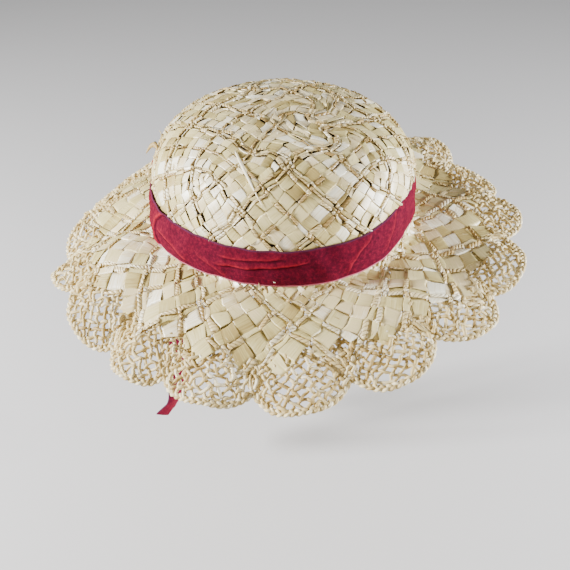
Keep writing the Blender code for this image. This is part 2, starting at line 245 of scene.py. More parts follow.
# Arc along the crown's profile over its radius, which is how far a strip has come down the crown.
profile_lean = 0.5 * np.pi - np.geomspace(1e-6, 0.5 * np.pi, 4000)
profile_kept = np.cos(profile_lean) ** (2.0 / crown_side_power)
profile_level = (crown_height - straw_sink) * np.sin(profile_lean) ** (2.0 / crown_top_power)
profile_radius = (mean_radius - straw_sink) * profile_kept
profile_step = np.hypot(np.diff(profile_radius), np.diff(profile_level))
profile_share = profile_step / np.sqrt(profile_radius[1:] * profile_radius[:-1])
profile_fall = np.concatenate([[0.0], np.cumsum(profile_share)])
profile_fall = profile_fall - profile_fall[-1]
profile_arc = np.concatenate([[0.0], np.cumsum(profile_step)])


# The ribbon presses the weave in where it is one tight layer, so its run is needed here.
ribbon_width = 0.0285
ribbon_seat = 0.0016            # from the brim up to the ribbon's lower edge
press_run = 0.03                # a share of the crown's radius, over which the weave is pressed in
front_starts = -229.0           # degrees, from where the front length lies over the rear one
front_ends = -78.0
front_blends = (8.0, 24.0)
ribbon_sections = np.array([
    # angle, lift as a share of ribbon_width, stand-off as a share of ribbon_stand_off
    (-345.0, 0.06, 0.05),
    (-290.0, 0.04, 0.05),
    (-250.0, 0.04, 0.05),
    (-215.0, 0.00, 0.36),
    (-205.0, 0.00, 0.60),
    (-196.0, 0.00, 0.62),
    (-180.0, 0.01, 0.35),
    (-160.0, 0.02, 0.08),
    (-135.0, 0.03, 0.05),
    (-112.0, 0.07, 0.10),
    (-95.0, 0.14, 0.06),
    (-78.0, 0.29, 0.02),
    (-50.0, 0.17, 0.02),
    (-15.0, 0.12, 0.05),
])


def single_layer(angle):
    """1 where the ribbon is one tight layer, at the back, and 0 where its front length lies over it."""
    angle = np.mod(angle, -360.0)
    inside = np.minimum((angle - front_starts) / front_blends[0], (front_ends - angle) / front_blends[1])
    return 1.0 - np.clip(inside, 0.0, 1.0)


def hat_point(turn, fall):
    """Point of the hat where fall is arc over radius from the crown's foot: the superellipse
    (r / R) ** side + (z / H) ** top = 1 above it, and the brim, out by R (e ** fall - 1), below. The
    crown is pressed in under the ribbon, leans over above it, and has a Gaussian dip in its top."""
    lean = np.interp(fall, profile_fall, profile_lean)
    above_foot = fall <= 0.0
    out = mean_radius * np.expm1(np.maximum(fall, 0.0))
    kept = np.cos(lean) ** (2.0 / crown_side_power)
    angle = np.degrees(turn)
    lift = round_trip(angle, ribbon_sections[:, 0], ribbon_sections[:, 1])
    ribbon_top = (ribbon_seat + ribbon_width * (1.0 + lift)) / mean_radius
    pressed = np.clip((fall + ribbon_top) / press_run + 0.5, 0.0, 1.0)
    sink = straw_sink + foot_tuck * single_layer(angle) * pressed
    radius = np.where(above_foot, (oval(turn) - sink) * kept,
                      oval(turn) + out - sink * np.exp(-40.0 * out / mean_radius))
    height = np.where(above_foot, (crown_height - straw_sink) * np.sin(lean) ** (2.0 / crown_top_power),
                      brim_height(turn, out))
    leaned = np.clip((height - lean_from) / (lean_to - lean_from), 0.0, 1.0)
    x = radius * np.cos(turn) + crown_lean[0] * leaned
    y = radius * np.sin(turn) + crown_lean[1] * leaned
    dip = np.exp(-((x - dip_place) ** 2 + (y + dip_place) ** 2) / dip_spread ** 2)
    return np.stack([x, y, height - dip_depth * leaned * dip], axis=-1)


def hat_normal(turn, fall):
    """Outward normal of the hat: fall's direction crossed with turn's, from central differences."""
    step = 0.004
    along = hat_point(turn, fall + step) - hat_point(turn, fall - step)
    round_it = hat_point(turn + step, fall) - hat_point(turn - step, fall)
    normal = np.cross(along, round_it)
    return normal / np.maximum(np.linalg.norm(normal, axis=-1, keepdims=True), 1e-12)


def waver(points, wavelength, seed):
    """Soft uneven shift of points: for each axis a sum of five sine waves of about one wavelength."""
    source = np.random.default_rng(seed)
    shift = np.zeros_like(points)
    for _ in range(5):
        way = source.normal(size=(3, 3))
        way = way / np.linalg.norm(way, axis=0) * (2.0 * np.pi / wavelength) * source.uniform(0.7, 1.5)
        shift = shift + np.sin(points @ way + source.uniform(0.0, 6.3, 3))
    return shift / 5.0 ** 0.5


def mat_table():
    """Where each place of the flat mat lies on the crown: z' = (z**4 + c**4) ** 0.25 / K, marched
    by Runge and Kutta along the middle of one quarter and then sideways, with corners at c."""
    corner = math.exp(np.interp(corner_arc, profile_arc, profile_fall))
    stretch = strips_round * math.sqrt(2.0) / (2.0 * math.pi)
    step = 0.125

    def march(z, way):
        def slope(w):
            return way * (w ** 4 + corner ** 4) ** 0.25 / stretch
        first = slope(z)
        second = slope(z + 0.5 * step * first)
        third = slope(z + 0.5 * step * second)
        return z + step * (first + 2 * second + 2 * third + slope(z + step * third)) / 6.0

    middle = [1e-5 + 0j]
    while abs(middle[-1]) < 1.35:
        middle.append(march(middle[-1], 1.0))
    column = np.array(middle)
    columns = [column]
    for _ in range(int(strips_per_side / math.sqrt(2.0) / step) + 1):
        column = march(column, 1j)
        columns.append(column)
    return np.stack(columns, axis=1), step


mat_place, mat_step = mat_table()
mat_half = strips_per_side / math.sqrt(2.0)
crown_swirls = [
    # turn in degrees, fall, twist in degrees, spread as a share of the crown's radius
    (-88.5, -1.33, 75.0, 0.085),
    (-44.5, -2.44, -85.0, 0.110),
    (-150.0, -1.25, 45.0, 0.090),
    (-20.0, -1.10, -40.0, 0.100),
    (60.0, -1.40, 60.0, 0.110),
]


def on_crown(first, second, side):
    """Turn and fall of a place in one quarter of the mat, from its two strip coordinates."""
    ahead = (first + second) / math.sqrt(2.0)
    aside = (first - second) / math.sqrt(2.0)
    beyond = np.where(np.abs(aside) > mat_half, np.sign(aside), 0.0)
    aside = aside - beyond * 2.0 * mat_half
    i = np.clip(ahead / mat_step, 0.0, mat_place.shape[0] - 1.001)
    j = np.clip(np.abs(aside) / mat_step, 0.0, mat_place.shape[1] - 1.001)
    i0 = i.astype(int)
    j0 = j.astype(int)
    u = i - i0
    v = j - j0
    z = ((1 - u) * (1 - v) * mat_place[i0, j0] + u * (1 - v) * mat_place[i0 + 1, j0]
         + (1 - u) * v * mat_place[i0, j0 + 1] + u * v * mat_place[i0 + 1, j0 + 1])
    z = np.where(aside < 0.0, np.conj(z), z)
    z = z * np.exp(0.5j * np.pi * (side + beyond + 0.5))
    for turn, fall, twist, spread in crown_swirls:
        centre = np.exp(fall + 1j * np.radians(turn))
        arm = z - centre
        z = centre + arm * np.exp(1j * np.radians(twist) * np.exp(-(np.abs(arm) / spread) ** 2))
    return np.angle(z), np.log(np.maximum(np.abs(z), 1e-5))


def strip_edges(chart, repeats):
    """Edges of the strips of a chart of W and n, on average one unit wide, over some repeats."""
    widths = np.array([1.0 if letter == "W" else narrow_share for letter in chart] * repeats)
    widths = widths * len(widths) / widths.sum()
    return np.concatenate([[0.0], np.cumsum(widths)])


def woven_strips(place, cells, own, unit, uneven, relief):
    """The strips of one direction as patches, one at each crossing. A patch runs t = 0..1 along its
    strip and v = -1..1 across it, and stands off the hat by lift * s(t) * (1 on top, -1 below)
    + cup * (1 - v**2), with the flat-topped s(t) = tanh(9 sin(pi t)), and leans a little both ways.
    It wanders sideways by a sine of its length, and its rows lie close together at both ends."""
    other = "b" if own == "a" else "a"
    even = np.linspace(-1.0, 1.0, 6)
    t = (0.5 + 0.5 * np.sign(even) * np.abs(even) ** 0.2)[None, :, None]
    v = np.linspace(-1.0, 1.0, 3)[None, None, :]
    rise = np.tanh(9.0 * np.sin(np.pi * t))
    mine = {key: cells[own + key][:, None, None]
            for key in ("0", "1", "_tone", "_fill", "_narrow", "_phase", "_tilt", "_pitch", "_skew", "_end")}
    start = cells[other + "0"][:, None, None]
    end = cells[other + "1"][:, None, None]
    crossed = cells[other + "_narrow"][:, None, None]
    along = start + (end - start) * t + 0.0 * v
    width = (mine["1"] - mine["0"]) * mine["_fill"] * (1.0 - 0.55 * mine["_end"] * t ** 2)
    drift = wander * np.sin(0.62 * along + mine["_phase"]) + mine["_skew"] * (t - 0.5)
    across = 0.5 * (mine["0"] + mine["1"]) + drift + 0.5 * width * v
    side = np.broadcast_to(cells["side"][:, None, None], across.shape)
    turn, fall = place(across, along, side) if own == "a" else place(along, across, side)
    on_top = np.where(cells["a_over"], 1.0, -1.0)[:, None, None] * (1.0 if own == "a" else -1.0)
    lift = relief * (1.0 + 0.5 * mine["_narrow"])
    lift = lift * np.where((crossed > 0.5) & (mine["_narrow"] < 0.5), 0.8, 1.0)
    cup = leaf_cup + strand_swell * mine["_narrow"]
    lean = leaf_tilt * (mine["_tilt"] * v + 0.8 * mine["_pitch"] * (2.0 * t - 1.0))
    height = rise * (lift * on_top + lean) + cup * (1.0 - v ** 2)
    normal = hat_normal(turn, fall)
    points = hat_point(turn, fall)
    shift = uneven * waver(points, 0.012, 3)
    shift = shift - 0.9 * np.sum(shift * normal, axis=-1, keepdims=True) * normal
    points = points + shift + normal * height[..., None]
    count, rows, columns = points.shape[:3]
    corner = np.arange(rows * columns).reshape(rows, columns)
    quad = np.stack([corner[:-1, :-1], corner[:-1, 1:], corner[1:, 1:], corner[1:, :-1]], axis=-1)
    quad = quad.reshape(-1, 4)
    quads = (quad[None] + (np.arange(count) * rows * columns)[:, None, None]).reshape(-1, 4)
    return {
        "points": points.reshape(-1, 3),
        "quads": quads[:, ::-1] if own == "a" else quads,
        "uv": np.stack([along * unit, 0.5 * width * v * unit], axis=-1).reshape(-1, 2),
        "tone": np.broadcast_to(mine["_tone"], across.shape).ravel(),
        "twist": np.broadcast_to(mine["_narrow"], across.shape).ravel(),
        "rim": np.broadcast_to(np.abs(v), across.shape).ravel(),
    }


def joined(shapes):
    """Several shapes as one: their points, quads and marks end to end."""
    starts = np.cumsum([0] + [len(shape["points"]) for shape in shapes[:-1]])
    whole = {key: np.concatenate([shape[key] for shape in shapes]) for key in shapes[0] if key != "quads"}
    whole["quads"] = np.concatenate([shape["quads"] + start for shape, start in zip(shapes, starts)])
    return whole


def mesh_piece(name, shape, finish):
    """A mesh object from arrays of points and quads, with its strip UV and point attributes."""
    mesh = bpy.data.meshes.new(name)
    points = shape["points"]
    quads = shape["quads"]
    mesh.vertices.add(len(points))
    mesh.vertices.foreach_set("co", points.astype(np.float32).ravel())
    mesh.loops.add(quads.size)
    mesh.loops.foreach_set("vertex_index", quads.astype(np.int32).ravel())
    mesh.polygons.add(len(quads))
    mesh.polygons.foreach_set("loop_start", np.arange(0, quads.size, 4, dtype=np.int32))
    mesh.update(calc_edges=True)
    if "uv" in shape:
        layer = mesh.uv_layers.new(name="strip")
        layer.data.foreach_set("uv", shape["uv"][quads.ravel()].astype(np.float32).ravel())
    for mark in ("tone", "twist", "rim", "painted_light_on_pile"):
        if mark in shape:
            attribute = mesh.attributes.new(mark, "FLOAT", "POINT")
            attribute.data.foreach_set("value", shape[mark].astype(np.float32))
    mesh.shade_smooth()
    mesh.materials.append(finish)
    piece = bpy.data.objects.new(name, mesh)
    bpy.context.scene.collection.objects.link(piece)
    return piece


def thicken(piece, thickness, offset):
    """Gives a sheet its real thickness, so that it is a closed body, with crisp cut edges."""
    mesh = piece.data
    edges = np.empty(len(mesh.loops), np.int32)
    mesh.loops.foreach_get("edge_index", edges)
    cut = np.bincount(edges, minlength=len(mesh.edges)) == 1
    mesh.attributes.new("sharp_edge", "BOOLEAN", "EDGE").data.foreach_set("value", cut)
    wall = piece.modifiers.new("thickness", "SOLIDIFY")
    wall.thickness = thickness
    wall.offset = offset
    wall.use_even_offset = False


def dress(piece, node):
    """Rides the piece on the hat, in place of its CAD node."""
    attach(piece, "root")
    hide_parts(node)


# Split palm leaf, dried and bleached: a matt cream to straw colour with a faint waxy gloss, long
# fine fibres along each strip, and tan, tightly twisted strands that catch the light in small twists.
leaf_fibre_mm = 0.8             # across a fibre, drawn coarser than real so that it shows
leaf_streak_mm = 16.67          # along a fibre
leaf_patch_mm = 11.11           # patches of paler and darker leaf
twist_pitch_mm = 2.6            # from one turn of a twisted strand to the next


def leaf_finish(name, leaf_stops, strand_stops):
    """Palm leaf: colour from each strip's tone, fibres along the strip, and twists on the strands with
    painted shade in their grooves.
    """
    finish, tree, shader = new_finish(name)
    uv = add(tree, "ShaderNodeUVMap", {"uv_map": "strip"}, {}).outputs["UV"]
    tone = add(tree, "ShaderNodeAttribute", {"attribute_name": "tone"}, {}).outputs["Fac"]
    twist = add(tree, "ShaderNodeAttribute", {"attribute_name": "twist"}, {}).outputs["Fac"]
    place = add(tree, "ShaderNodeTexCoord", {}, {}).outputs["Object"]
    fibre_place = add(tree, "ShaderNodeMapping", {},
                      {"Vector": uv, "Scale": (1000.0 / leaf_streak_mm, 1000.0 / leaf_fibre_mm, 1.0)})
    fibre = add(tree, "ShaderNodeTexNoise", {},
                {"Vector": fibre_place.outputs["Vector"], "Scale": 1.0, "Detail": 3.0}).outputs["Fac"]
    patch = add(tree, "ShaderNodeTexNoise", {},
                {"Vector": place, "Scale": 1000.0 / leaf_patch_mm, "Detail": 2.0}).outputs["Fac"]
    drift = add(tree, "ShaderNodeMath", {"operation": "MULTIPLY_ADD"},
                {0: patch, 1: 0.5, 2: tone}).outputs[0]
    drift = add(tree, "ShaderNodeMath", {"operation": "SUBTRACT"}, {0: drift, 1: 0.25}).outputs[0]
    streaked = add(tree, "ShaderNodeMath", {"operation": "MULTIPLY_ADD"},
                   {0: fibre, 1: 0.9, 2: drift}).outputs[0]
    streaked = add(tree, "ShaderNodeMath", {"operation": "SUBTRACT"},
                   {0: streaked, 1: 0.45}).outputs[0]
    colours = []
    for stops in (leaf_stops, strand_stops):
        ramp = add(tree, "ShaderNodeValToRGB", {}, {"Fac": streaked})
        band = ramp.color_ramp
        while len(band.elements) < len(stops):
            band.elements.new(0.5)
        for element, (position, code) in zip(band.elements, stops):
            element.position = position
            element.color = linear(code)
        colours.append(ramp.outputs["Color"])
    rim = add(tree, "ShaderNodeAttribute", {"attribute_name": "rim"}, {}).outputs["Fac"]
    rim = add(tree, "ShaderNodeMapRange", {}, {"Value": rim, "From Min": 0.84, "From Max": 1.0,
                                               "To Max": 0.25}).outputs["Result"]
    colour = add(tree, "ShaderNodeMix", {"data_type": "RGBA"},
                 {"Factor": twist, 6: colours[0], 7: colours[1]}).outputs[2]
    edged = add(tree, "ShaderNodeMix", {"data_type": "RGBA"},
                {"Factor": rim, 6: colour, 7: linear("#94794A")}).outputs[2]
    parts = add(tree, "ShaderNodeSeparateXYZ", {}, {"Vector": uv})
    slant = add(tree, "ShaderNodeMath", {"operation": "MULTIPLY_ADD"},
                {0: parts.outputs["Y"], 1: 0.9, 2: parts.outputs["X"]}).outputs[0]
    phase = add(tree, "ShaderNodeMath", {"operation": "MULTIPLY"},
                {0: slant, 1: 1000.0 * math.pi / twist_pitch_mm}).outputs[0]
    ply = add(tree, "ShaderNodeMath", {"operation": "SINE"}, {0: phase}).outputs[0]
    ply = add(tree, "ShaderNodeMath", {"operation": "ABSOLUTE"}, {0: ply}).outputs[0]
    # Painted shade: the grooves between a strand's plies are darkened towards #80622F.
    groove_shade = add(tree, "ShaderNodeMapRange", {}, {"Value": ply, "From Min": 0.15, "From Max": 0.55,
                                                  "To Min": 0.75, "To Max": 0.0}).outputs["Result"]
    groove_shade = add(tree, "ShaderNodeMath", {"operation": "MULTIPLY"}, {0: groove_shade, 1: twist}).outputs[0]
    groove_shaded = add(tree, "ShaderNodeMix", {"data_type": "RGBA"},
                  {"Factor": groove_shade, 6: edged, 7: linear("#80622F")}).outputs[2]
    tree.links.new(groove_shaded, shader.inputs["Base Color"])
    ply = add(tree, "ShaderNodeMath", {"operation": "MULTIPLY"}, {0: ply, 1: twist}).outputs[0]
    relief = add(tree, "ShaderNodeMath", {"operation": "MULTIPLY_ADD"},
                 {0: fibre, 1: 0.55, 2: ply}).outputs[0]
    bump = add(tree, "ShaderNodeBump", {}, {"Height": relief, "Strength": 0.6, "Distance": 0.0006})
    tree.links.new(bump.outputs["Normal"], shader.inputs["Normal"])
    shader.inputs["Roughness"].default_value = 0.36
    shader.inputs["Specular IOR Level"].default_value = 0.6
    shader.inputs["Coat Weight"].default_value = 0.20
    shader.inputs["Coat Roughness"].default_value = 0.26
    shader.inputs["IOR"].default_value = 1.48
    return finish


palm_leaf = leaf_finish(
    "bleached palm leaf",
    [(0.0, "#AB9558"), (0.25, "#C9B877"), (0.50, "#DBCD92"), (0.72, "#E3CF9C"), (1.0, "#FEF9DF")],
    [(0.0, "#A98B50"), (0.35, "#CFB577"), (0.70, "#E3D19C"), (1.0, "#F3EAC8")])


def chart_strips(edges, count, chart, seed):
    """The strips of both directions: bounds, kind, and each one's own tone, width and wander."""
    source = np.random.default_rng(seed)
    narrow = np.array([letter == "n" for letter in chart], float)[np.arange(count) % len(chart)]
    strips = {}
    for own in ("a", "b"):
        strips[own + "0"] = edges[:count]
        strips[own + "1"] = edges[1:count + 1]
        strips[own + "_narrow"] = narrow
        strips[own + "_tone"] = source.beta(1.7, 1.8, count)
        strips[own + "_fill"] = np.where(narrow > 0.5, source.uniform(0.62, 0.88, count),
                                         source.uniform(0.97, 1.10, count))
        strips[own + "_phase"] = source.uniform(0.0, 6.3, count)
    return strips


def chart_cells(strips, i, j, side, seed):
    """The crossings of strips i and j, each with its own small tilt and skew."""
    source = np.random.default_rng(seed)
    cells = {"side": np.full(len(i), float(side)), "a_over": (i + j) % 2 == 0}
    for own, index in (("a", i), ("b", j)):
        for key in ("0", "1", "_narrow", "_tone", "_fill", "_phase"):
            cells[own + key] = strips[own + key][index]
        cells[own + "_tone"] = np.clip(cells[own + "_tone"] + source.normal(0.0, 0.10, len(i)), 0.0, 1.0)
        cells[own + "_fill"] = cells[own + "_fill"] * source.uniform(0.95, 1.0, len(i))
        cells[own + "_tilt"] = np.clip(source.normal(0.0, 0.7, len(i)), -1.0, 1.0)
        cells[own + "_pitch"] = np.clip(source.normal(0.0, 0.6, len(i)), -1.0, 1.0)
        cells[own + "_skew"] = source.normal(0.0, 0.035, len(i))
        cells[own + "_end"] = np.zeros(len(i))
    return cells


def crown_cells():
    """Every crossing of the crown, quarter by quarter, down to just past its foot."""
    edges = strip_edges(crown_chart, 3)
    reach = 3 * strips_per_side
    parts = []
    for side in range(4):
        strips = chart_strips(edges, reach, crown_chart, 20)
        i, j = np.meshgrid(np.arange(reach), np.arange(reach), indexing="ij")
        keep = (i - j <= strips_per_side) & (j - i < strips_per_side)
        i = i[keep]
        j = j[keep]
        fall = on_crown(0.5 * (edges[i] + edges[i + 1]), 0.5 * (edges[j] + edges[j + 1]), float(side))[1]
        parts.append(chart_cells(strips, i[fall < 0.05], j[fall < 0.05], side, 40 + side))
    return {key: np.concatenate([part[key] for part in parts]) for key in parts[0]}


crown_unit = 2.0 * math.pi * mean_radius / (strips_round * math.sqrt(2.0))
crown_uneven = 0.0008
crown_crossings = crown_cells()
for way_name, own in (("leftward", "a"), ("rightward", "b")):
    crown_shape = woven_strips(on_crown, crown_crossings, own, crown_unit, crown_uneven, crown_relief)
    crown_weave = mesh_piece("crown_weave_" + way_name, crown_shape, palm_leaf)
    thicken(crown_weave, leaf_thickness, -1.0)
    dress(crown_weave, "crown")


# Inside a hat on the head it is dark, and the gaps of the crown look nearly black. A thin sheet of
# painted shade lies in the middle of the weave, and shows only in its gaps.
shade_sheet_turns = 96
shade_sheet_falls = 40
shade_sheet_thickness = 0.0001
shade_sheet_patch_mm = 6.667          # patches of lighter and darker painted shade


def grid_quads(rows, columns, closed):
    """Quads of a grid of points, joined round its rows where it is closed."""
    index = np.arange(rows * columns).reshape(rows, columns)
    if closed:
        index = np.concatenate([index, index[:1]])
    quads = np.stack([index[:-1, :-1], index[1:, :-1], index[1:, 1:], index[:-1, 1:]], axis=-1)
    return quads.reshape(-1, 4)


def shade_sheet_layer():
    """The crown's surface itself, from its foot to its pole, evenly spaced in its profile's lean."""
    turn, lean = np.meshgrid(2.0 * np.pi * np.arange(shade_sheet_turns) / shade_sheet_turns,
                             0.5 * np.pi * np.linspace(0.04, 0.9995, shade_sheet_falls + 1), indexing="ij")
    fall = np.interp(lean.ravel(), profile_lean[::-1], profile_fall[::-1])
    points = hat_point(turn.ravel(), fall)
    return {"points": points, "quads": grid_quads(shade_sheet_turns, shade_sheet_falls + 1, True)}


painted_shade_sheet, tree, shader = new_finish("painted shade sheet")
place = add(tree, "ShaderNodeTexCoord", {}, {}).outputs["Object"]
depth = add(tree, "ShaderNodeTexNoise", {},
            {"Vector": place, "Scale": 1000.0 / shade_sheet_patch_mm, "Detail": 1.0}).outputs["Fac"]
depth = add(tree, "ShaderNodeMapRange", {},
            {"Value": depth, "From Min": 0.42, "From Max": 0.56}).outputs["Result"]
# Painted shade: the sheet's colour is mixed in patches between tan #8F7748 and near-black #1C150B.
shade_sheet_colour = add(tree, "ShaderNodeMix", {"data_type": "RGBA"},
                   {"Factor": depth, 6: linear("#8F7748"), 7: linear("#1C150B")})
tree.links.new(shade_sheet_colour.outputs[2], shader.inputs["Base Color"])
shader.inputs["Roughness"].default_value = 0.9
shader.inputs["Specular IOR Level"].default_value = 0.1
crown_shade_sheet = mesh_piece("crown_painted_shade_sheet", shade_sheet_layer(), painted_shade_sheet)
thicken(crown_shade_sheet, shade_sheet_thickness, 0.0)
dress(crown_shade_sheet, "crown")


# The brim carries on in the same leaf. Its strips widen as it spreads, stop unevenly before the
# scallops, and leave small gaps where a strip runs thin.
brim_chart = "WnWWnnWWWnWnnWWWnn"
strips_per_radian = strips_round / (2.0 * math.pi)
brim_relief = 0.00105


def scallop_place(turn):
    """Which scallop a turn lies in, and the share of the way along it."""
    angle = notch_angles[0] - np.mod(notch_angles[0] - np.degrees(turn), 360.0)
    which = np.clip(np.searchsorted(-notch_angles, -angle, side="right") - 1, 0, len(notch_angles) - 1)
    return which, (angle - notch_angles[which]) / (next_angles[which] - notch_angles[which])


def edge_out(turn):
    """How far out the plaited edge's middle runs: notch + (tip - notch) (1 - |2 s - 1| ** lobe_power)."""
    which, share = scallop_place(turn)
    following = (which + 1) % len(scallops)
    base = notch_out[which] + share * (notch_out[following] - notch_out[which])
    middle = 0.5 * (notch_out[which] + notch_out[following])
    return base + (tip_out[which] - middle) * (1.0 - np.abs(2.0 * share - 1.0) ** lobe_power)


def lattice_out(turn):
    """How far out the open lattice starts: its reach less a dip at the notches."""
    share = scallop_place(turn)[1]
    return lattice_reach - lattice_dip * np.abs(2.0 * share - 1.0) ** 2


def on_brim(first, second, side):
    """Turn and fall of a place on the brim: half the difference and half the sum of its coordinates."""
    return 0.5 * (first - second) / strips_per_radian, 0.5 * (first + second) / strips_per_radian


def brim_cells():
    """Every crossing of the brim from under the ribbon to the uneven start of the lattice, where
    the strips narrow as they end. One turn round, (i + N, j - N) is the same crossing as (i, j)."""
    edges = strip_edges(brim_chart, 8)
    count = 2 * strips_round
    i, j = np.meshgrid(np.arange(strips_round), np.arange(count), indexing="ij")
    middle_a = 0.5 * (edges[i] + edges[i + 1])
    middle_b = 0.5 * (edges[j] + edges[j + 1]) - strips_round
    turn, fall = on_brim(middle_a, middle_b, 0.0)
    out = mean_radius * np.expm1(fall)
    share = scallop_place(turn)[1]
    ragged = 0.0045 * waver(hat_point(turn, fall), 0.022, 5)[..., 0] + 0.006 * (0.45 - share)
    keep = (fall > -0.04) & (out < lattice_out(turn) - 0.002 + ragged)
    after_b = np.roll(keep, -1, axis=1)
    after_a = np.roll(keep, -1, axis=0)
    after_a[-1] = np.roll(keep[0], -strips_round)
    cells = chart_cells(chart_strips(edges, count, brim_chart, 31), i[keep], j[keep], 0.0, 50)
    cells["a_end"] = (~after_b[keep]).astype(float)
    cells["b_end"] = (~after_a[keep]).astype(float)
    cells["b0"] = cells["b0"] - strips_round
    cells["b1"] = cells["b1"] - strips_round
    return cells


brim_unit = 1.3 * crown_unit
brim_crossings = brim_cells()
brim_uneven = 0.0010
brim_shape = joined([
    woven_strips(on_brim, brim_crossings, own, brim_unit, brim_uneven, brim_relief) for own in "ab"])
brim_weave = mesh_piece("brim_weave", brim_shape, palm_leaf)
thicken(brim_weave, leaf_thickness, -1.0)
dress(brim_weave, "brim")


# The open lattice of each scallop: cords of two leaf strands twisted together, crossing over and
# under, with gaps of a few millimetres, and drawn together towards the notches.
cords_round = 166
cord_radius = 0.00132
cord_lift = 0.0009
cord_pitch = 0.0062
cord_step = 0.0013
cord_sides = 6
cord_girth = 0.006              # the strip of leaf that is wound round a cord
lattice_tuck = 0.018            # how far the cords run in under the flat strips
cord_dive = 0.0020
drawn_together = 0.055          # a share of a scallop, by which cords lean to its notches
scallop_degrees = 21.2
lattice_start = 0.036


def ring_tube(centres, across, up, radii, shown):
    """Tubes round rows of centre points: c + r(w) (cos w across + sin w up), closed where a row of
    shown points ends, because the radius shrinks to nothing on its first and last ring."""
    inner = shown.copy()
    inner[:, 1:] &= shown[:, :-1]
    inner[:, :-1] &= shown[:, 1:]
    inner[:, 0] = False
    inner[:, -1] = False
    sides = radii.shape[-1]
    w = 2.0 * np.pi * np.arange(sides) / sides
    reach = radii * inner[..., None]
    points = (centres[:, :, None, :] + (reach * np.cos(w))[..., None] * across[:, :, None, :]
              + (reach * np.sin(w))[..., None] * up[:, :, None, :])
    rows, length = shown.shape
    index = np.arange(rows * length * sides).reshape(rows, length, sides)
    after = np.roll(index, -1, axis=2)
    quads = np.stack([index[:, :-1], index[:, 1:], after[:, 1:], after[:, :-1]], axis=-1)
    return points.reshape(-1, 3), quads[shown[:, :-1] & shown[:, 1:]].reshape(-1, 4)


def crosswise(normal, tangent):
    """Two unit directions across a path: the normal crossed with its tangent, and the tangent crossed
    with that."""
    across = np.cross(normal, tangent)
    across = across / np.linalg.norm(across, axis=-1, keepdims=True)
    return across, np.cross(tangent, across)


def twisted_cords(centres, normal, lift, width, tone, shown):
    """Cords of two strands twisted together, along rows of centres that stand off the hat by their
    lift. Round a centre the radius is r(w) = R width (0.70 + 0.30 |cos(w - 2 pi arc / pitch)|)."""
    tangent = np.gradient(centres, axis=1)
    step = np.linalg.norm(tangent, axis=-1, keepdims=True)
    across, up = crosswise(normal, tangent / step)
    arc = np.cumsum(step[..., 0], axis=1)
    w = 2.0 * np.pi * np.arange(cord_sides) / cord_sides
    turned = w[None, None, :] - (2.0 * np.pi * arc / cord_pitch)[..., None]
    radii = cord_radius * width[..., None] * (0.70 + 0.30 * np.abs(np.cos(turned)))
    points, quads = ring_tube(centres + lift[..., None] * normal, across, up, radii, shown)
    tones = np.repeat(np.clip(tone + 0.0 * arc, 0.0, 1.0).ravel(), cord_sides)
    round_cord = np.tile(w / (2.0 * np.pi) * cord_girth, arc.size)
    strip = np.stack([np.repeat(arc.ravel(), cord_sides), round_cord], axis=-1)
    return {"points": points, "quads": quads, "tone": tones, "uv": strip}


def lattice_cords(way, seed):
    """One direction of cords: turn = 2 pi k / N + way * fall, drawn towards the notches by a sine of
    the share of the scallop, and lifted by (-1)**k cos(pi c), where c counts the cords crossed."""
    source = np.random.default_rng(seed)
    k = np.arange(cords_round)[:, None]
    per_radian = cords_round / (2.0 * np.pi)
    fall_in = np.log1p(lattice_start / mean_radius)
    fall_out = np.log1p((tip_reach + 0.004) / mean_radius)
    count = int((fall_out - fall_in) * (mean_radius + notch_reach) * math.sqrt(2.0) / cord_step)
    fall = np.linspace(fall_in, fall_out, count)[None, :] + 0.0 * k
    start = k / per_radian
    turn = start + way * fall
    crossed = (start + 2.0 * way * fall) * per_radian
    lift = way * cord_lift * np.where(k % 2 == 0, 1.0, -1.0) * np.cos(np.pi * crossed)
    turn = turn + source.normal(0.0, 0.10, (cords_round, 1)) / per_radian
    out = mean_radius * np.expm1(fall)
    share = scallop_place(turn)[1]
    ramp = np.clip((out - 0.045) / 0.02, 0.0, 1.0)
    turn = turn + drawn_together * np.radians(scallop_degrees) * np.sin(2.0 * np.pi * share) * ramp
    ragged = source.uniform(0.0, 0.006, (cords_round, 1))
    inner = lattice_out(turn) - lattice_tuck + ragged + 0.006 * (0.45 - share)
    shown = (out < edge_out(turn)) & (out > inner)
    normal = hat_normal(turn, fall)
    under = np.clip((lattice_out(turn) - 0.001 - out) / 0.005, 0.0, 1.0)
    centres = hat_point(turn, fall) - normal * (cord_dive * under)[..., None]
    centres = centres + 0.0009 * waver(centres, 0.016, 4) + 0.0006 * waver(centres, 0.006, 6)
    width = source.uniform(0.82, 1.12, (cords_round, 1))
    tone = source.normal(0.5, 0.22, (cords_round, 1))
    return twisted_cords(centres, normal, lift, width, tone, shown)


gathers_per_notch = 9
gather_reach = 0.017
gather_spread = 0.0085


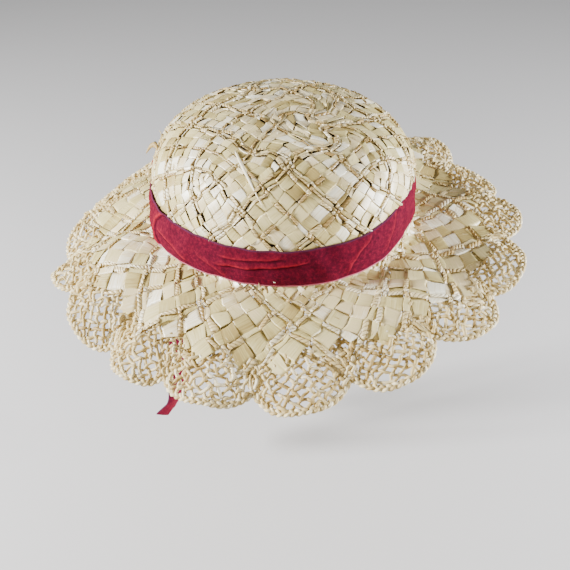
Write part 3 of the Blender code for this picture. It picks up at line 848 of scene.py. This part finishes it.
def notch_gathers(seed):
    """Strands that run together into each notch: over u = 0..1 from the notch inwards a strand is
    out by notch - reach u and aside by spread * q * u ** 0.8, with q from -1 to 1 across the bunch."""
    source = np.random.default_rng(seed)
    count = len(notch_angles) * gathers_per_notch
    which = np.repeat(np.arange(len(notch_angles)), gathers_per_notch)
    q = np.tile(np.linspace(-1.0, 1.0, gathers_per_notch), len(notch_angles))
    q = q + source.normal(0.0, 0.12, count)
    u = np.linspace(0.0, 1.0, 16)[None, :]
    reach = gather_reach * source.uniform(0.65, 1.15, (count, 1))
    out = (notch_out[which] - 0.0008)[:, None] - reach * u
    aside = gather_spread * q[:, None] * u ** 0.8 + 0.0006 * q[:, None]
    turn = np.radians(notch_angles[which])[:, None] + aside / (mean_radius + out)
    fall = np.log1p(out / mean_radius)
    normal = hat_normal(turn, fall)
    bow = 0.0009 * np.sin(np.pi * u) * source.uniform(-0.3, 1.0, (count, 1)) - cord_dive * u ** 4
    centres = hat_point(turn, fall) + normal * bow[..., None]
    centres = centres + 0.0006 * waver(centres, 0.007, 8)
    width = source.uniform(0.7, 1.0, (count, 1))
    tone = source.normal(0.45, 0.22, (count, 1))
    lift = np.zeros(centres.shape[:2])
    return twisted_cords(centres, normal, lift, width, tone, np.ones(centres.shape[:2], bool))


def loose_points_out(piece):
    """Drops the points that no face uses, and merges the ring that closes a cord's end."""
    work = bmesh.new()
    work.from_mesh(piece.data)
    bmesh.ops.delete(work, geom=[v for v in work.verts if not v.link_faces], context="VERTS")
    bmesh.ops.remove_doubles(work, verts=work.verts, dist=1e-7)
    bmesh.ops.recalc_face_normals(work, faces=work.faces)
    work.to_mesh(piece.data)
    work.free()


strand_fibre_mm = 0.4167        # across a fibre of a strand
strand_streak_mm = 3.846        # along it


def cord_finish(name, stops):
    """Twisted palm strands: colour from each cord's tone, streaked and bumped by fine fibres along it."""
    finish, tree, shader = new_finish(name)
    uv = add(tree, "ShaderNodeUVMap", {"uv_map": "strip"}, {}).outputs["UV"]
    tone = add(tree, "ShaderNodeAttribute", {"attribute_name": "tone"}, {}).outputs["Fac"]
    fibre_place = add(tree, "ShaderNodeMapping", {},
                      {"Vector": uv, "Scale": (1000.0 / strand_streak_mm, 1000.0 / strand_fibre_mm, 1.0)})
    fibre = add(tree, "ShaderNodeTexNoise", {},
                {"Vector": fibre_place.outputs["Vector"], "Scale": 1.0, "Detail": 3.0}).outputs["Fac"]
    streaked = add(tree, "ShaderNodeMath", {"operation": "MULTIPLY_ADD"},
                   {0: fibre, 1: 0.7, 2: tone}).outputs[0]
    streaked = add(tree, "ShaderNodeMath", {"operation": "SUBTRACT"},
                   {0: streaked, 1: 0.35}).outputs[0]
    ramp = add(tree, "ShaderNodeValToRGB", {}, {"Fac": streaked})
    band = ramp.color_ramp
    while len(band.elements) < len(stops):
        band.elements.new(0.5)
    for element, (position, code) in zip(band.elements, stops):
        element.position = position
        element.color = linear(code)
    tree.links.new(ramp.outputs["Color"], shader.inputs["Base Color"])
    bump = add(tree, "ShaderNodeBump", {}, {"Height": fibre, "Strength": 0.45, "Distance": 0.0004})
    tree.links.new(bump.outputs["Normal"], shader.inputs["Normal"])
    shader.inputs["Roughness"].default_value = 0.55
    shader.inputs["Specular IOR Level"].default_value = 0.4
    shader.inputs["IOR"].default_value = 1.48
    return finish


twisted_leaf = cord_finish(
    "twisted palm leaf", [(0.0, "#A2864C"), (0.35, "#C4AC70"), (0.7, "#DAC896"), (1.0, "#EFE5C4")])
lattice_shape = joined([lattice_cords(-1.0, 61), lattice_cords(1.0, 62), notch_gathers(63)])
lattice = mesh_piece("brim_lattice", lattice_shape, twisted_leaf)
loose_points_out(lattice)
dress(lattice, "brim")


# The scallops' edge: three split leaves plaited flat, so that it looks like a thin rope, running
# out round each scallop and sharply in at each notch.
plait_pitch = 0.0135
plait_swing = 0.00135
plait_lift = 0.0007
plait_steps = 14
path_steps = 160                # along each scallop
thickening_run = 0.041          # a strand is thicker and thinner over this length
leaf_half_width = 0.00125
leaf_half_height = 0.0009
plait_sides = 8


def plaited_edge():
    """Three strands round the scalloped path p: p + A sin(f) side + B sin(2 f) up, where f is
    2 pi arc / pitch + 2 pi k / 3, with superellipse sections."""
    turn = np.radians(notch_angles[0]) - np.linspace(0.0, 2.0 * np.pi, len(scallops) * path_steps + 1)
    out = edge_out(turn)
    fall = np.log1p(out / mean_radius)
    path = hat_point(turn, fall)
    window = np.hanning(19)
    window = window / window.sum()
    closed = np.concatenate([path[-10:-1], path, path[1:10]])
    path = np.stack([np.convolve(closed[:, axis], window, "valid") for axis in range(3)], axis=-1)
    arc = np.concatenate([[0.0], np.cumsum(np.linalg.norm(np.diff(path, axis=0), axis=1))])
    pitches = round(arc[-1] / plait_pitch)
    places = np.linspace(0.0, arc[-1], pitches * plait_steps + 1)
    centre = np.stack([np.interp(places, arc, path[:, axis]) for axis in range(3)], axis=-1)
    up = hat_normal(np.interp(places, arc, turn), np.interp(places, arc, fall))
    tangent = np.gradient(centre, axis=0)
    tangent[0] = tangent[-1] = centre[1] - centre[-2]
    side, up = crosswise(up, tangent / np.linalg.norm(tangent, axis=1, keepdims=True))
    shapes = []
    w = 2.0 * np.pi * np.arange(plait_sides) / plait_sides
    for k in range(3):
        f = 2.0 * np.pi * (pitches * places / arc[-1] + k / 3.0)
        waves = places * 2.0 * np.pi * round(arc[-1] / thickening_run) / arc[-1]
        uneven = 1.0 + 0.12 * np.sin(waves + 2.0 * k)
        middle = (centre + (plait_swing * uneven * np.sin(f))[:, None] * side
                  + (plait_lift * np.sin(2.0 * f))[:, None] * up)
        points = (middle[:, None] + (leaf_half_width * np.cos(w))[None, :, None] * side[:, None]
                  + (leaf_half_height * np.sin(w))[None, :, None] * up[:, None])[:-1]
        index = np.arange(points.shape[0] * plait_sides).reshape(-1, plait_sides)
        ahead = np.roll(index, -1, axis=0)
        quads = np.stack([index, ahead, np.roll(ahead, -1, axis=1), np.roll(index, -1, axis=1)], axis=-1)
        along = np.repeat(places[:-1], plait_sides)
        round_leaf = np.tile(w * 0.001, len(places) - 1)
        shapes.append({
            "points": points.reshape(-1, 3),
            "quads": quads.reshape(-1, 4),
            "tone": np.repeat(0.5 + 0.35 * np.sin(places[:-1] * 31.0 + 2.1 * k), plait_sides),
            "uv": np.stack([along, round_leaf], axis=-1),
        })
    return joined(shapes)


edge_leaf = cord_finish(
    "plaited palm leaf", [(0.0, "#A68B52"), (0.35, "#C8B27A"), (0.7, "#DDCC9C"), (1.0, "#F0E7C8")])
edge_plait = mesh_piece("edge_plait", plaited_edge(), edge_leaf)
loose_points_out(edge_plait)
dress(edge_plait, "edge_braid")


# The ribbon: crimson velvet, 28.5 mm wide, pulled round the foot of the crown. Its front length lies
# over the rear one in a rounded fold at the hat's right, and creases run along it.
ribbon_thickness = 0.0012
ribbon_stand_off = 0.006
fitting_gap = 0.0003
cloth_thickness = 0.0008
pile_clearance = 0.0003         # the velvet lies this much further out than its CAD strip
tight_pull = 0.0013             # and this much further in where it is one tight layer
edge_roll = 0.0007              # how far the edges roll in, over their run
edge_run = 0.0008
turns_round = 720
steps_up = 36
creases = [
    # height mm, reach mm, side that is raised (1 left of the way it runs), then its places
    (1.5, 26.0, -1, [(-194.0, 1.06), (-199.5, 0.93), (-204.2, 0.66), (-205.3, 0.42), (-203.5, 0.18),
                     (-199.0, -0.06)]),
    (0.9, 9.0, 1, [(-203.0, 0.46), (-197.0, 0.45), (-191.5, 0.40), (-185.0, 0.25), (-180.0, 0.14)]),
    (0.5, 5.0, 1, [(-176.0, 0.46), (-170.0, 0.38), (-165.5, 0.29), (-161.5, 0.10)]),
    (1.3, 7.0, 1, [(-166.5, 0.43), (-158.2, 0.47), (-151.0, 0.48), (-142.2, 0.57), (-133.7, 0.62),
                   (-126.0, 0.68)]),
    (0.8, 4.5, 1, [(-164.0, 0.68), (-153.7, 0.69), (-144.5, 0.76), (-135.0, 0.82)]),
    (0.65, 14.0, -1, [(-100.0, 0.92), (-102.5, 0.77), (-106.5, 0.62), (-109.7, 0.42), (-111.5, 0.10)]),
    (0.5, 10.0, -1, [(-84.0, 1.02), (-87.0, 0.80), (-90.5, 0.48), (-93.0, 0.20)]),
    (0.7, 6.0, 1, [(-250.0, 0.30), (-236.0, 0.42), (-224.0, 0.30)]),
    (0.8, 7.0, 1, [(-60.0, 0.55), (-40.0, 0.62), (-18.0, 0.50)]),
    (0.7, 8.0, -1, [(-330.0, 0.90), (-318.0, 0.50), (-308.0, 0.20)]),
]


def creased(angle, share):
    """Height of the creases at places on the ribbon, and the light painted on them. Each rises as a step
    tanh(d / 0.4 mm) across its line and falls off as exp(-d / reach) on the raised side, d being the
    distance. The painted light is a Gaussian ridge of painted highlight on that side, where the pile is
    parted, less one of painted shade on the other, where the pile is crushed."""
    height = np.zeros_like(angle)
    painted_light_on_pile = np.zeros_like(angle)
    crushed_pile_shade = np.zeros_like(angle)
    mm_per_degree = math.radians(1.0) * mean_radius * 1000.0
    for rise, reach, side, line in creases:
        nearest = np.full_like(angle, 1e9)
        signed = np.zeros_like(angle)
        along = np.zeros_like(angle)
        spans = len(line) - 1
        for n, ((a0, s0), (a1, s1)) in enumerate(zip(line, line[1:])):
            px = (angle - a0) * mm_per_degree
            py = (share - s0) * ribbon_width * 1000.0
            vx = (a1 - a0) * mm_per_degree
            vy = (s1 - s0) * ribbon_width * 1000.0
            u = np.clip((px * vx + py * vy) / (vx * vx + vy * vy), 0.0, 1.0)
            gap = np.hypot(px - u * vx, py - u * vy)
            closer = gap < nearest
            nearest = np.where(closer, gap, nearest)
            signed = np.where(closer, np.sign(vx * py - vy * px) * gap * side, signed)
            along = np.where(closer, (n + u) / spans, along)
        fade = np.clip(np.minimum(along, 1.0 - along) / 0.12, 0.0, 1.0) if rise < 1.4 else 1.0
        step = 0.5 * (1.0 + np.tanh(signed / 0.4)) * np.exp(-np.maximum(signed, 0.0) / reach)
        height = height + 0.001 * rise * fade * step
        # The raised side of a crease gets a painted highlight, the low side a painted shadow.
        ridge = 0.65 * np.exp(-((signed - 0.7) / (0.4 + 0.04 * reach)) ** 2)
        ridge = ridge + 0.35 * np.exp(-np.maximum(signed, 0.0) / 3.0) * (signed > 0.0)
        painted_light_on_pile = np.maximum(painted_light_on_pile, fade * min(rise, 1.0) * ridge)
        crushed_pile_shade = np.maximum(crushed_pile_shade, fade * min(rise, 1.0) * np.exp(-((signed + 0.7) / 0.8) ** 2))
    return height, painted_light_on_pile - crushed_pile_shade


def ribbon_point(angle, share, layer):
    """Point of the ribbon: out by the crown's oval at that height, a flare at the lower edge, a swell
    across its width and its layer, less where it is one tight layer, with both edges rolled in."""
    lift = ribbon_width * round_trip(angle, ribbon_sections[:, 0], ribbon_sections[:, 1])
    stand_off = ribbon_stand_off * round_trip(angle, ribbon_sections[:, 0], ribbon_sections[:, 2])
    height = ribbon_seat + lift + share * ribbon_width
    kept = (1.0 - (height / crown_height) ** crown_top_power) ** (1.0 / crown_side_power)
    layers = 1.0 - single_layer(angle)
    swell = np.interp(share, (0.0, 0.33, 0.66, 1.0), (0.2, 0.9, 0.7, 0.0)) * ribbon_thickness * layers
    swell = swell - tight_pull * (1.0 - layers)
    rolled = edge_roll * (np.exp(-share * ribbon_width / edge_run)
                          + np.exp(-(1.0 - share) * ribbon_width / edge_run))
    radius = oval(np.radians(angle)) * kept + fitting_gap + stand_off * (1.0 - share)
    radius = radius + layer + swell - rolled
    turn = np.radians(angle)
    return np.stack([radius * np.cos(turn), radius * np.sin(turn), height], axis=-1)


def velvet_band():
    """The band: ribbon_point over the whole turn and width, raised by its creases and soft ripples."""
    angle, share = np.meshgrid(-360.0 + 360.0 * np.arange(turns_round) / turns_round,
                               np.linspace(0.0, 1.0, steps_up + 1), indexing="ij")
    height, painted_light_on_pile = creased(angle, share)
    points = ribbon_point(angle, share, ribbon_thickness + pile_clearance + height)
    points = points + 0.00035 * waver(points, 0.018, 9) * np.array([1.0, 1.0, 0.6])
    arc = np.radians(angle + 360.0) * mean_radius
    uv = np.stack([arc, share * ribbon_width], axis=-1)
    return {"points": points.reshape(-1, 3), "quads": grid_quads(turns_round, steps_up + 1, True),
            "uv": uv.reshape(-1, 2), "painted_light_on_pile": painted_light_on_pile.ravel()}


# Crimson velvet: a short pile that is nearly black-red face on and glows where it is seen at a slant,
# with a painted highlight and parted pile along the creases, painted shade and crushed pile beside
# them, and a thin, pale woven selvedge at both edges.
velvet_patch_mm = 2.381         # places where the pile leans its own way
velvet_tuft_mm = 0.5263         # tufts, drawn coarser than real so that they show
selvedge_width = 0.0015
selvedge_blend = 0.0005
selvedge_shift = 0.0004         # the lower selvedge shows this much more, the upper one less


def velvet_finish():
    """Velvet: mottled crimson, painted highlight and shade along the creases, pale selvedges,
    and a red sheen.
    """
    finish, tree, shader = new_finish("crimson velvet")
    uv = add(tree, "ShaderNodeUVMap", {"uv_map": "strip"}, {}).outputs["UV"]
    place = add(tree, "ShaderNodeTexCoord", {}, {}).outputs["Object"]
    painted_light_on_pile = add(tree, "ShaderNodeAttribute", {"attribute_name": "painted_light_on_pile"}, {}).outputs["Fac"]
    mottle = add(tree, "ShaderNodeTexNoise", {},
                 {"Vector": place, "Scale": 1000.0 / velvet_patch_mm, "Detail": 5.0,
                  "Roughness": 0.6}).outputs["Fac"]
    pile = add(tree, "ShaderNodeTexNoise", {},
               {"Vector": place, "Scale": 1000.0 / velvet_tuft_mm, "Detail": 2.0}).outputs["Fac"]
    mixed = add(tree, "ShaderNodeMath", {"operation": "MULTIPLY_ADD"},
                {0: pile, 1: 0.55, 2: mottle}).outputs[0]
    mixed = add(tree, "ShaderNodeMath", {"operation": "SUBTRACT"}, {0: mixed, 1: 0.28}).outputs[0]
    ramp = add(tree, "ShaderNodeValToRGB", {}, {"Fac": mixed})
    band = ramp.color_ramp
    band.elements.new(0.5)
    stops = [(0.25, "#370B1A"), (0.5, "#540D22"), (0.75, "#761529")]
    for element, (position, code) in zip(band.elements, stops):
        element.position = position
        element.color = linear(code)
    # Painted highlight: along the creases the colour is mixed towards bright red #BE2430, with parted pile.
    parted_pile_highlight = add(tree, "ShaderNodeMath", {"operation": "MULTIPLY"}, {0: painted_light_on_pile, 1: mixed}).outputs[0]
    # Painted shadow: on a crease's low side the colour is mixed towards near-black #1E020C, with crushed
    # pile.
    crushed_pile_shade = add(tree, "ShaderNodeMath", {"operation": "MULTIPLY"}, {0: painted_light_on_pile, 1: -0.85}).outputs[0]
    dark = add(tree, "ShaderNodeMix", {"data_type": "RGBA"},
               {"Factor": crushed_pile_shade, 6: ramp.outputs["Color"], 7: linear("#1E020C")}).outputs[2]
    bright = add(tree, "ShaderNodeMix", {"data_type": "RGBA"},
                 {"Factor": parted_pile_highlight, 6: dark, 7: linear("#BE2430")}).outputs[2]
    across = add(tree, "ShaderNodeSeparateXYZ", {}, {"Vector": uv}).outputs["Y"]
    from_middle = add(tree, "ShaderNodeMath", {"operation": "SUBTRACT"},
                      {0: across, 1: 0.5 * ribbon_width + selvedge_shift}).outputs[0]
    from_middle = add(tree, "ShaderNodeMath", {"operation": "ABSOLUTE"}, {0: from_middle}).outputs[0]
    selvedge = add(tree, "ShaderNodeMapRange", {},
                   {"Value": from_middle, "From Min": 0.5 * ribbon_width - selvedge_width,
                    "From Max": 0.5 * ribbon_width - selvedge_width + selvedge_blend}).outputs["Result"]
    upper = add(tree, "ShaderNodeMath", {"operation": "GREATER_THAN"},
                {0: across, 1: 0.5 * ribbon_width}).outputs[0]
    woven = add(tree, "ShaderNodeMix", {"data_type": "RGBA"},
                {"Factor": upper, 6: linear("#B4687A"), 7: linear("#4C2338")}).outputs[2]
    colour = add(tree, "ShaderNodeMix", {"data_type": "RGBA"},
                 {"Factor": selvedge, 6: bright, 7: woven}).outputs[2]
    tree.links.new(colour, shader.inputs["Base Color"])
    bump = add(tree, "ShaderNodeBump", {}, {"Height": pile, "Strength": 0.35, "Distance": 0.0003})
    tree.links.new(bump.outputs["Normal"], shader.inputs["Normal"])
    shader.inputs["Roughness"].default_value = 0.9
    shader.inputs["Specular IOR Level"].default_value = 0.05
    shader.inputs["Sheen Weight"].default_value = 0.36
    shader.inputs["Sheen Roughness"].default_value = 0.35
    shader.inputs["Sheen Tint"].default_value = linear("#FF3048")
    return finish


velvet = velvet_finish()
ribbon_band = mesh_piece("velvet_band", velvet_band(), velvet)
thicken(ribbon_band, cloth_thickness, -1.0)
dress(ribbon_band, "ribbon_band")


# The knot at the back, out of the photo's sight: the ribbon's own end wrapped once, upright, round
# a few layers of the band.
tie_angle = 110.0
knot_width = 0.024
knot_share = 0.92
knot_depth = 0.009
knot_edge = 0.0015
knot_waist = 0.12
knot_steps = 48


def velvet_knot():
    """A closed pad: its back follows the band and its front bulges as (1 - u**4)(1 - v**4), with
    a raised upright wrap in the middle and pleats that spread from it."""
    even = np.linspace(-1.0, 1.0, knot_steps + 1)
    u, v = np.meshgrid(even, even, indexing="ij")
    half_angle = np.degrees(0.5 * knot_width / oval(np.radians(tie_angle)))
    angle = tie_angle + half_angle * u * (1.0 - knot_waist * v * v)
    share = 0.5 + 0.5 * knot_share * v * (1.0 - knot_waist * u * u)
    bulge = (1.0 - u ** 4) * (1.0 - v ** 4)
    wrap = 0.5 * (np.tanh((u + 0.42) / 0.05) - np.tanh((u - 0.42) / 0.05))
    pleats = 0.0006 * np.cos(9.0 * v / (0.5 + 0.5 * np.abs(u))) * (1.0 - wrap)
    pleats = pleats + 0.0003 * np.cos(14.0 * u) * wrap
    front = knot_edge + (knot_depth - knot_edge) * bulge * (0.80 + 0.18 * wrap) + pleats * bulge
    layers = []
    for lift in (np.full_like(front, 2.0 * fitting_gap), 2.0 * fitting_gap + front):
        base = ribbon_point(angle, share, ribbon_thickness + 0.0002)
        turn = np.radians(angle)
        layers.append(base + lift[..., None] * np.stack([np.cos(turn), np.sin(turn), 0.0 * turn], axis=-1))
    size = knot_steps + 1
    back = grid_quads(size, size, False)[:, ::-1]
    face = grid_quads(size, size, False) + size * size
    index = np.arange(size * size).reshape(size, size)
    rim = np.concatenate([index[:-1, 0], index[-1, :-1], index[:0:-1, -1], index[0, :0:-1]])
    walls = np.stack([rim, np.roll(rim, -1), np.roll(rim, -1) + size * size, rim + size * size], axis=-1)
    uv = np.stack([0.5 * knot_width * (u + 1.0), 0.5 * ribbon_width + 0.011 * v], axis=-1).reshape(-1, 2)
    # A painted highlight along both edges of the upright wrap.
    painted_light_on_pile = (np.exp(-((np.abs(u) - 0.42) / 0.06) ** 2) * 0.6).ravel()
    return {"points": np.concatenate(layers).reshape(-1, 3), "quads": np.concatenate([back, face, walls]),
            "uv": np.concatenate([uv, uv]), "painted_light_on_pile": np.concatenate([painted_light_on_pile, painted_light_on_pile])}


knot = mesh_piece("velvet_knot", velvet_knot(), velvet)
loose_points_out(knot)
dress(knot, "ribbon_knot")


# The two ends: they leave the knot side by side, pass through the slot in the brim gathered to half
# their width, and hang freely, turning a little outward. One shows below the brim in the photo.
tail_reach = 0.0045
tail_spacing = 0.0006
tail_drop = 0.240
tail_drift = 0.045
tail_lengths = {"right": 1.0, "left": 0.93}
tail_stations = np.array([
    # share down, width, outward, apart, twist in degrees, depth of the gathers in mm
    (0.00, 0.46, 0.00, 0.00, 0.0, 1.5),
    (0.08, 0.46, 0.00, 0.00, 0.0, 1.7),
    (0.20, 0.56, 0.01, 0.05, 5.0, 2.0),
    (0.34, 0.66, 0.01, 0.10, 14.0, 1.9),
    (0.48, 0.74, -0.01, 0.15, 24.0, 1.6),
    (0.62, 0.80, -0.03, 0.20, 30.0, 1.5),
    (0.75, 0.84, -0.02, 0.25, 28.0, 1.4),
    (0.88, 0.88, 0.08, 0.27, 22.0, 1.3),
    (1.00, 0.92, 0.40, 0.37, 12.0, 1.2),
])


def velvet_tail(side, length_share):
    """One end: across it u = -1..1, out from its middle line by depth * cos(2.4 u + 2.2 s side) and, at
    its foot, cut on the slant."""
    s = np.linspace(0.0, 1.0, 121)
    width, outward, apart, twist, depth = (
        np.interp(s, tail_stations[:, 0], column) for column in tail_stations.T[1:])
    window = np.hanning(9) / np.hanning(9).sum()
    width, outward, apart, twist, depth = (
        np.convolve(np.pad(column, 4, "edge"), window, "valid")
        for column in (width, outward, apart, twist, depth))
    turn = math.radians(tie_angle)
    out_way = np.array([math.cos(turn), math.sin(turn), 0.0])
    side_way = np.array([-math.sin(turn), math.cos(turn), 0.0])
    start = ribbon_seat - 2.0 * fitting_gap
    reach = oval(turn) + ribbon_thickness + 2.0 * fitting_gap + tail_reach
    reach = reach + tail_drift * outward * length_share
    drift = side * (0.5 * (tail_spacing + width[0] * ribbon_width) + tail_drift * apart)
    u = np.linspace(-1.0, 1.0, 25)[None, :]
    half = 0.5 * ribbon_width * width[:, None]
    sway = 0.001 * depth[:, None] * np.cos(2.4 * u + 2.2 * s[:, None] * side)
    sway = sway * np.minimum(1.0, 6.0 * s[:, None] + 0.4)
    twist = np.radians(twist)[:, None]
    over = half * u * np.cos(twist) - side * sway * np.sin(twist)
    out = side * half * u * np.sin(twist) + sway * np.cos(twist)
    slant = 0.05 * u * side * np.clip((s[:, None] - 0.9) / 0.1, 0.0, 1.0)
    height = start - (s[:, None] - np.maximum(slant, 0.0)) * (tail_drop * length_share + start)
    points = ((reach[:, None] + out)[..., None] * out_way + (drift[:, None] + over)[..., None] * side_way
              + height[..., None] * np.array([0.0, 0.0, 1.0]))
    along = s[:, None] * tail_drop * length_share + 0.0 * u
    uv = np.stack([along, 0.5 * ribbon_width * (u + 1.0) + 0.0 * along], axis=-1)
    # A painted highlight streak down each end.
    painted_light_on_pile = 0.5 * np.exp(-((u - 0.25 * side) / 0.06) ** 2) * (0.4 + 0.6 * np.sin(3.0 * s[:, None]) ** 2)
    return {"points": points.reshape(-1, 3), "quads": grid_quads(len(s), 25, False)[:, ::-1],
            "uv": uv.reshape(-1, 2), "painted_light_on_pile": painted_light_on_pile.ravel()}


for side_name, side in (("right", 1.0), ("left", -1.0)):
    tail = mesh_piece("velvet_tail_" + side_name, velvet_tail(side, tail_lengths[side_name]), velvet)
    thicken(tail, cloth_thickness, 0.0)
    dress(tail, "ribbon_tail_" + side_name)


# Loose straws: a pale one that lies slack over the crown's right front, a tan curl at its right, and
# short ends that stand up all over the weave.
straw_sides = 6
straw_steps = 16
loose_straws = np.array([
    # turn, fall and lift in mm at the start, middle and end, then half width in mm and tone
    (-171.5, -1.14, 1.5, -158.5, -0.93, 6.0, -144.6, -0.625, 2.0, 1.05, 1.00),
    (-229.0, -0.57, 0.3, -236.0, -0.60, 6.0, -233.0, -0.47, 7.4, 2.40, 0.05),
    (-231.0, -0.60, 0.3, -238.0, -0.66, 3.0, -240.0, -0.62, 5.0, 0.50, 0.40),
    (-36.0, -0.62, 0.3, -32.0, -0.60, 2.0, -30.0, -0.55, 3.0, 0.30, 0.50),
    (-8.0, -0.80, 0.3, -5.0, -0.82, 2.0, -2.0, -0.80, 2.6, 0.35, 0.50),
    (-146.5, 0.035, 0.5, -146.3, 0.00, 2.6, -146.5, -0.045, 3.2, 0.40, 0.70),
    (-140.4, -0.080, 3.7, -140.0, -0.076, 4.3, -139.6, -0.070, 3.7, 0.42, 1.00),
])


def bent_straws(rows):
    """Straws as tapered tubes on a quadratic curve p(t) = (1-t)**2 a + 2 t (1-t) b + t**2 c through
    places that stand off the hat by their lift."""
    ends = []
    for n in range(3):
        turn = np.radians(rows[:, 3 * n])
        fall = rows[:, 3 * n + 1]
        ends.append(hat_point(turn, fall) + hat_normal(turn, fall) * 0.001 * rows[:, 3 * n + 2, None])
    t = np.linspace(0.0, 1.0, straw_steps)[None, :, None]
    a, b, c = (end[:, None, :] for end in ends)
    centres = (1 - t) ** 2 * a + 2 * t * (1 - t) * b + t ** 2 * c
    tangent = np.gradient(centres, axis=1)
    tangent = tangent / np.linalg.norm(tangent, axis=-1, keepdims=True)
    away = hat_normal(np.radians(rows[:, 0]), rows[:, 1])[:, None, :] + 0.0 * centres
    across, up = crosswise(away, tangent)
    taper = np.sin(np.pi * (0.15 + 0.8 * t[..., 0]))
    w = 2.0 * np.pi * np.arange(straw_sides) / straw_sides
    oval_section = 0.35 + 0.65 * np.abs(np.cos(w))
    radii = 0.001 * rows[:, 9][:, None, None] * taper[..., None] * oval_section
    shown = np.ones(centres.shape[:2], bool)
    points, quads = ring_tube(centres, across, up, radii, shown)
    arc = np.tile(np.linspace(0.0, 0.02, straw_steps), len(rows))
    return {"points": points, "quads": quads, "tone": np.repeat(rows[:, 10], straw_steps * straw_sides),
            "uv": np.stack([np.repeat(arc, straw_sides), np.tile(w * 0.0003, arc.size)], axis=-1)}


def short_ends(count, fall_from, fall_to, seed):
    """Rows for short straw ends at random places: each starts in the weave and bends away from it."""
    source = np.random.default_rng(seed)
    turn = source.uniform(-360.0, 0.0, count)
    fall = source.uniform(fall_from, fall_to, count)
    way = source.uniform(0.0, 2.0 * np.pi, count)
    length = source.uniform(0.025, 0.085, count)
    lift = 0.5 + 1.4 * source.uniform(0.0, 1.0, count) ** 2
    rows = [turn, fall, np.full(count, -0.2),
            turn + np.degrees(0.5 * length * np.cos(way)), fall + 0.5 * length * np.sin(way), lift,
            turn + np.degrees(length * np.cos(way)), fall + length * np.sin(way),
            lift * source.uniform(0.2, 1.3, count),
            source.uniform(0.12, 0.42, count), source.uniform(0.15, 1.0, count)]
    return np.stack(rows, axis=-1)


crown_ends = mesh_piece("crown_loose_straws", bent_straws(
    np.concatenate([loose_straws, short_ends(430, -1.9, -0.40, 71)])), twisted_leaf)
loose_points_out(crown_ends)
dress(crown_ends, "crown")
brim_ends = mesh_piece("brim_loose_straws", bent_straws(short_ends(260, 0.08, 0.47, 72)), twisted_leaf)
loose_points_out(brim_ends)
dress(brim_ends, "brim")
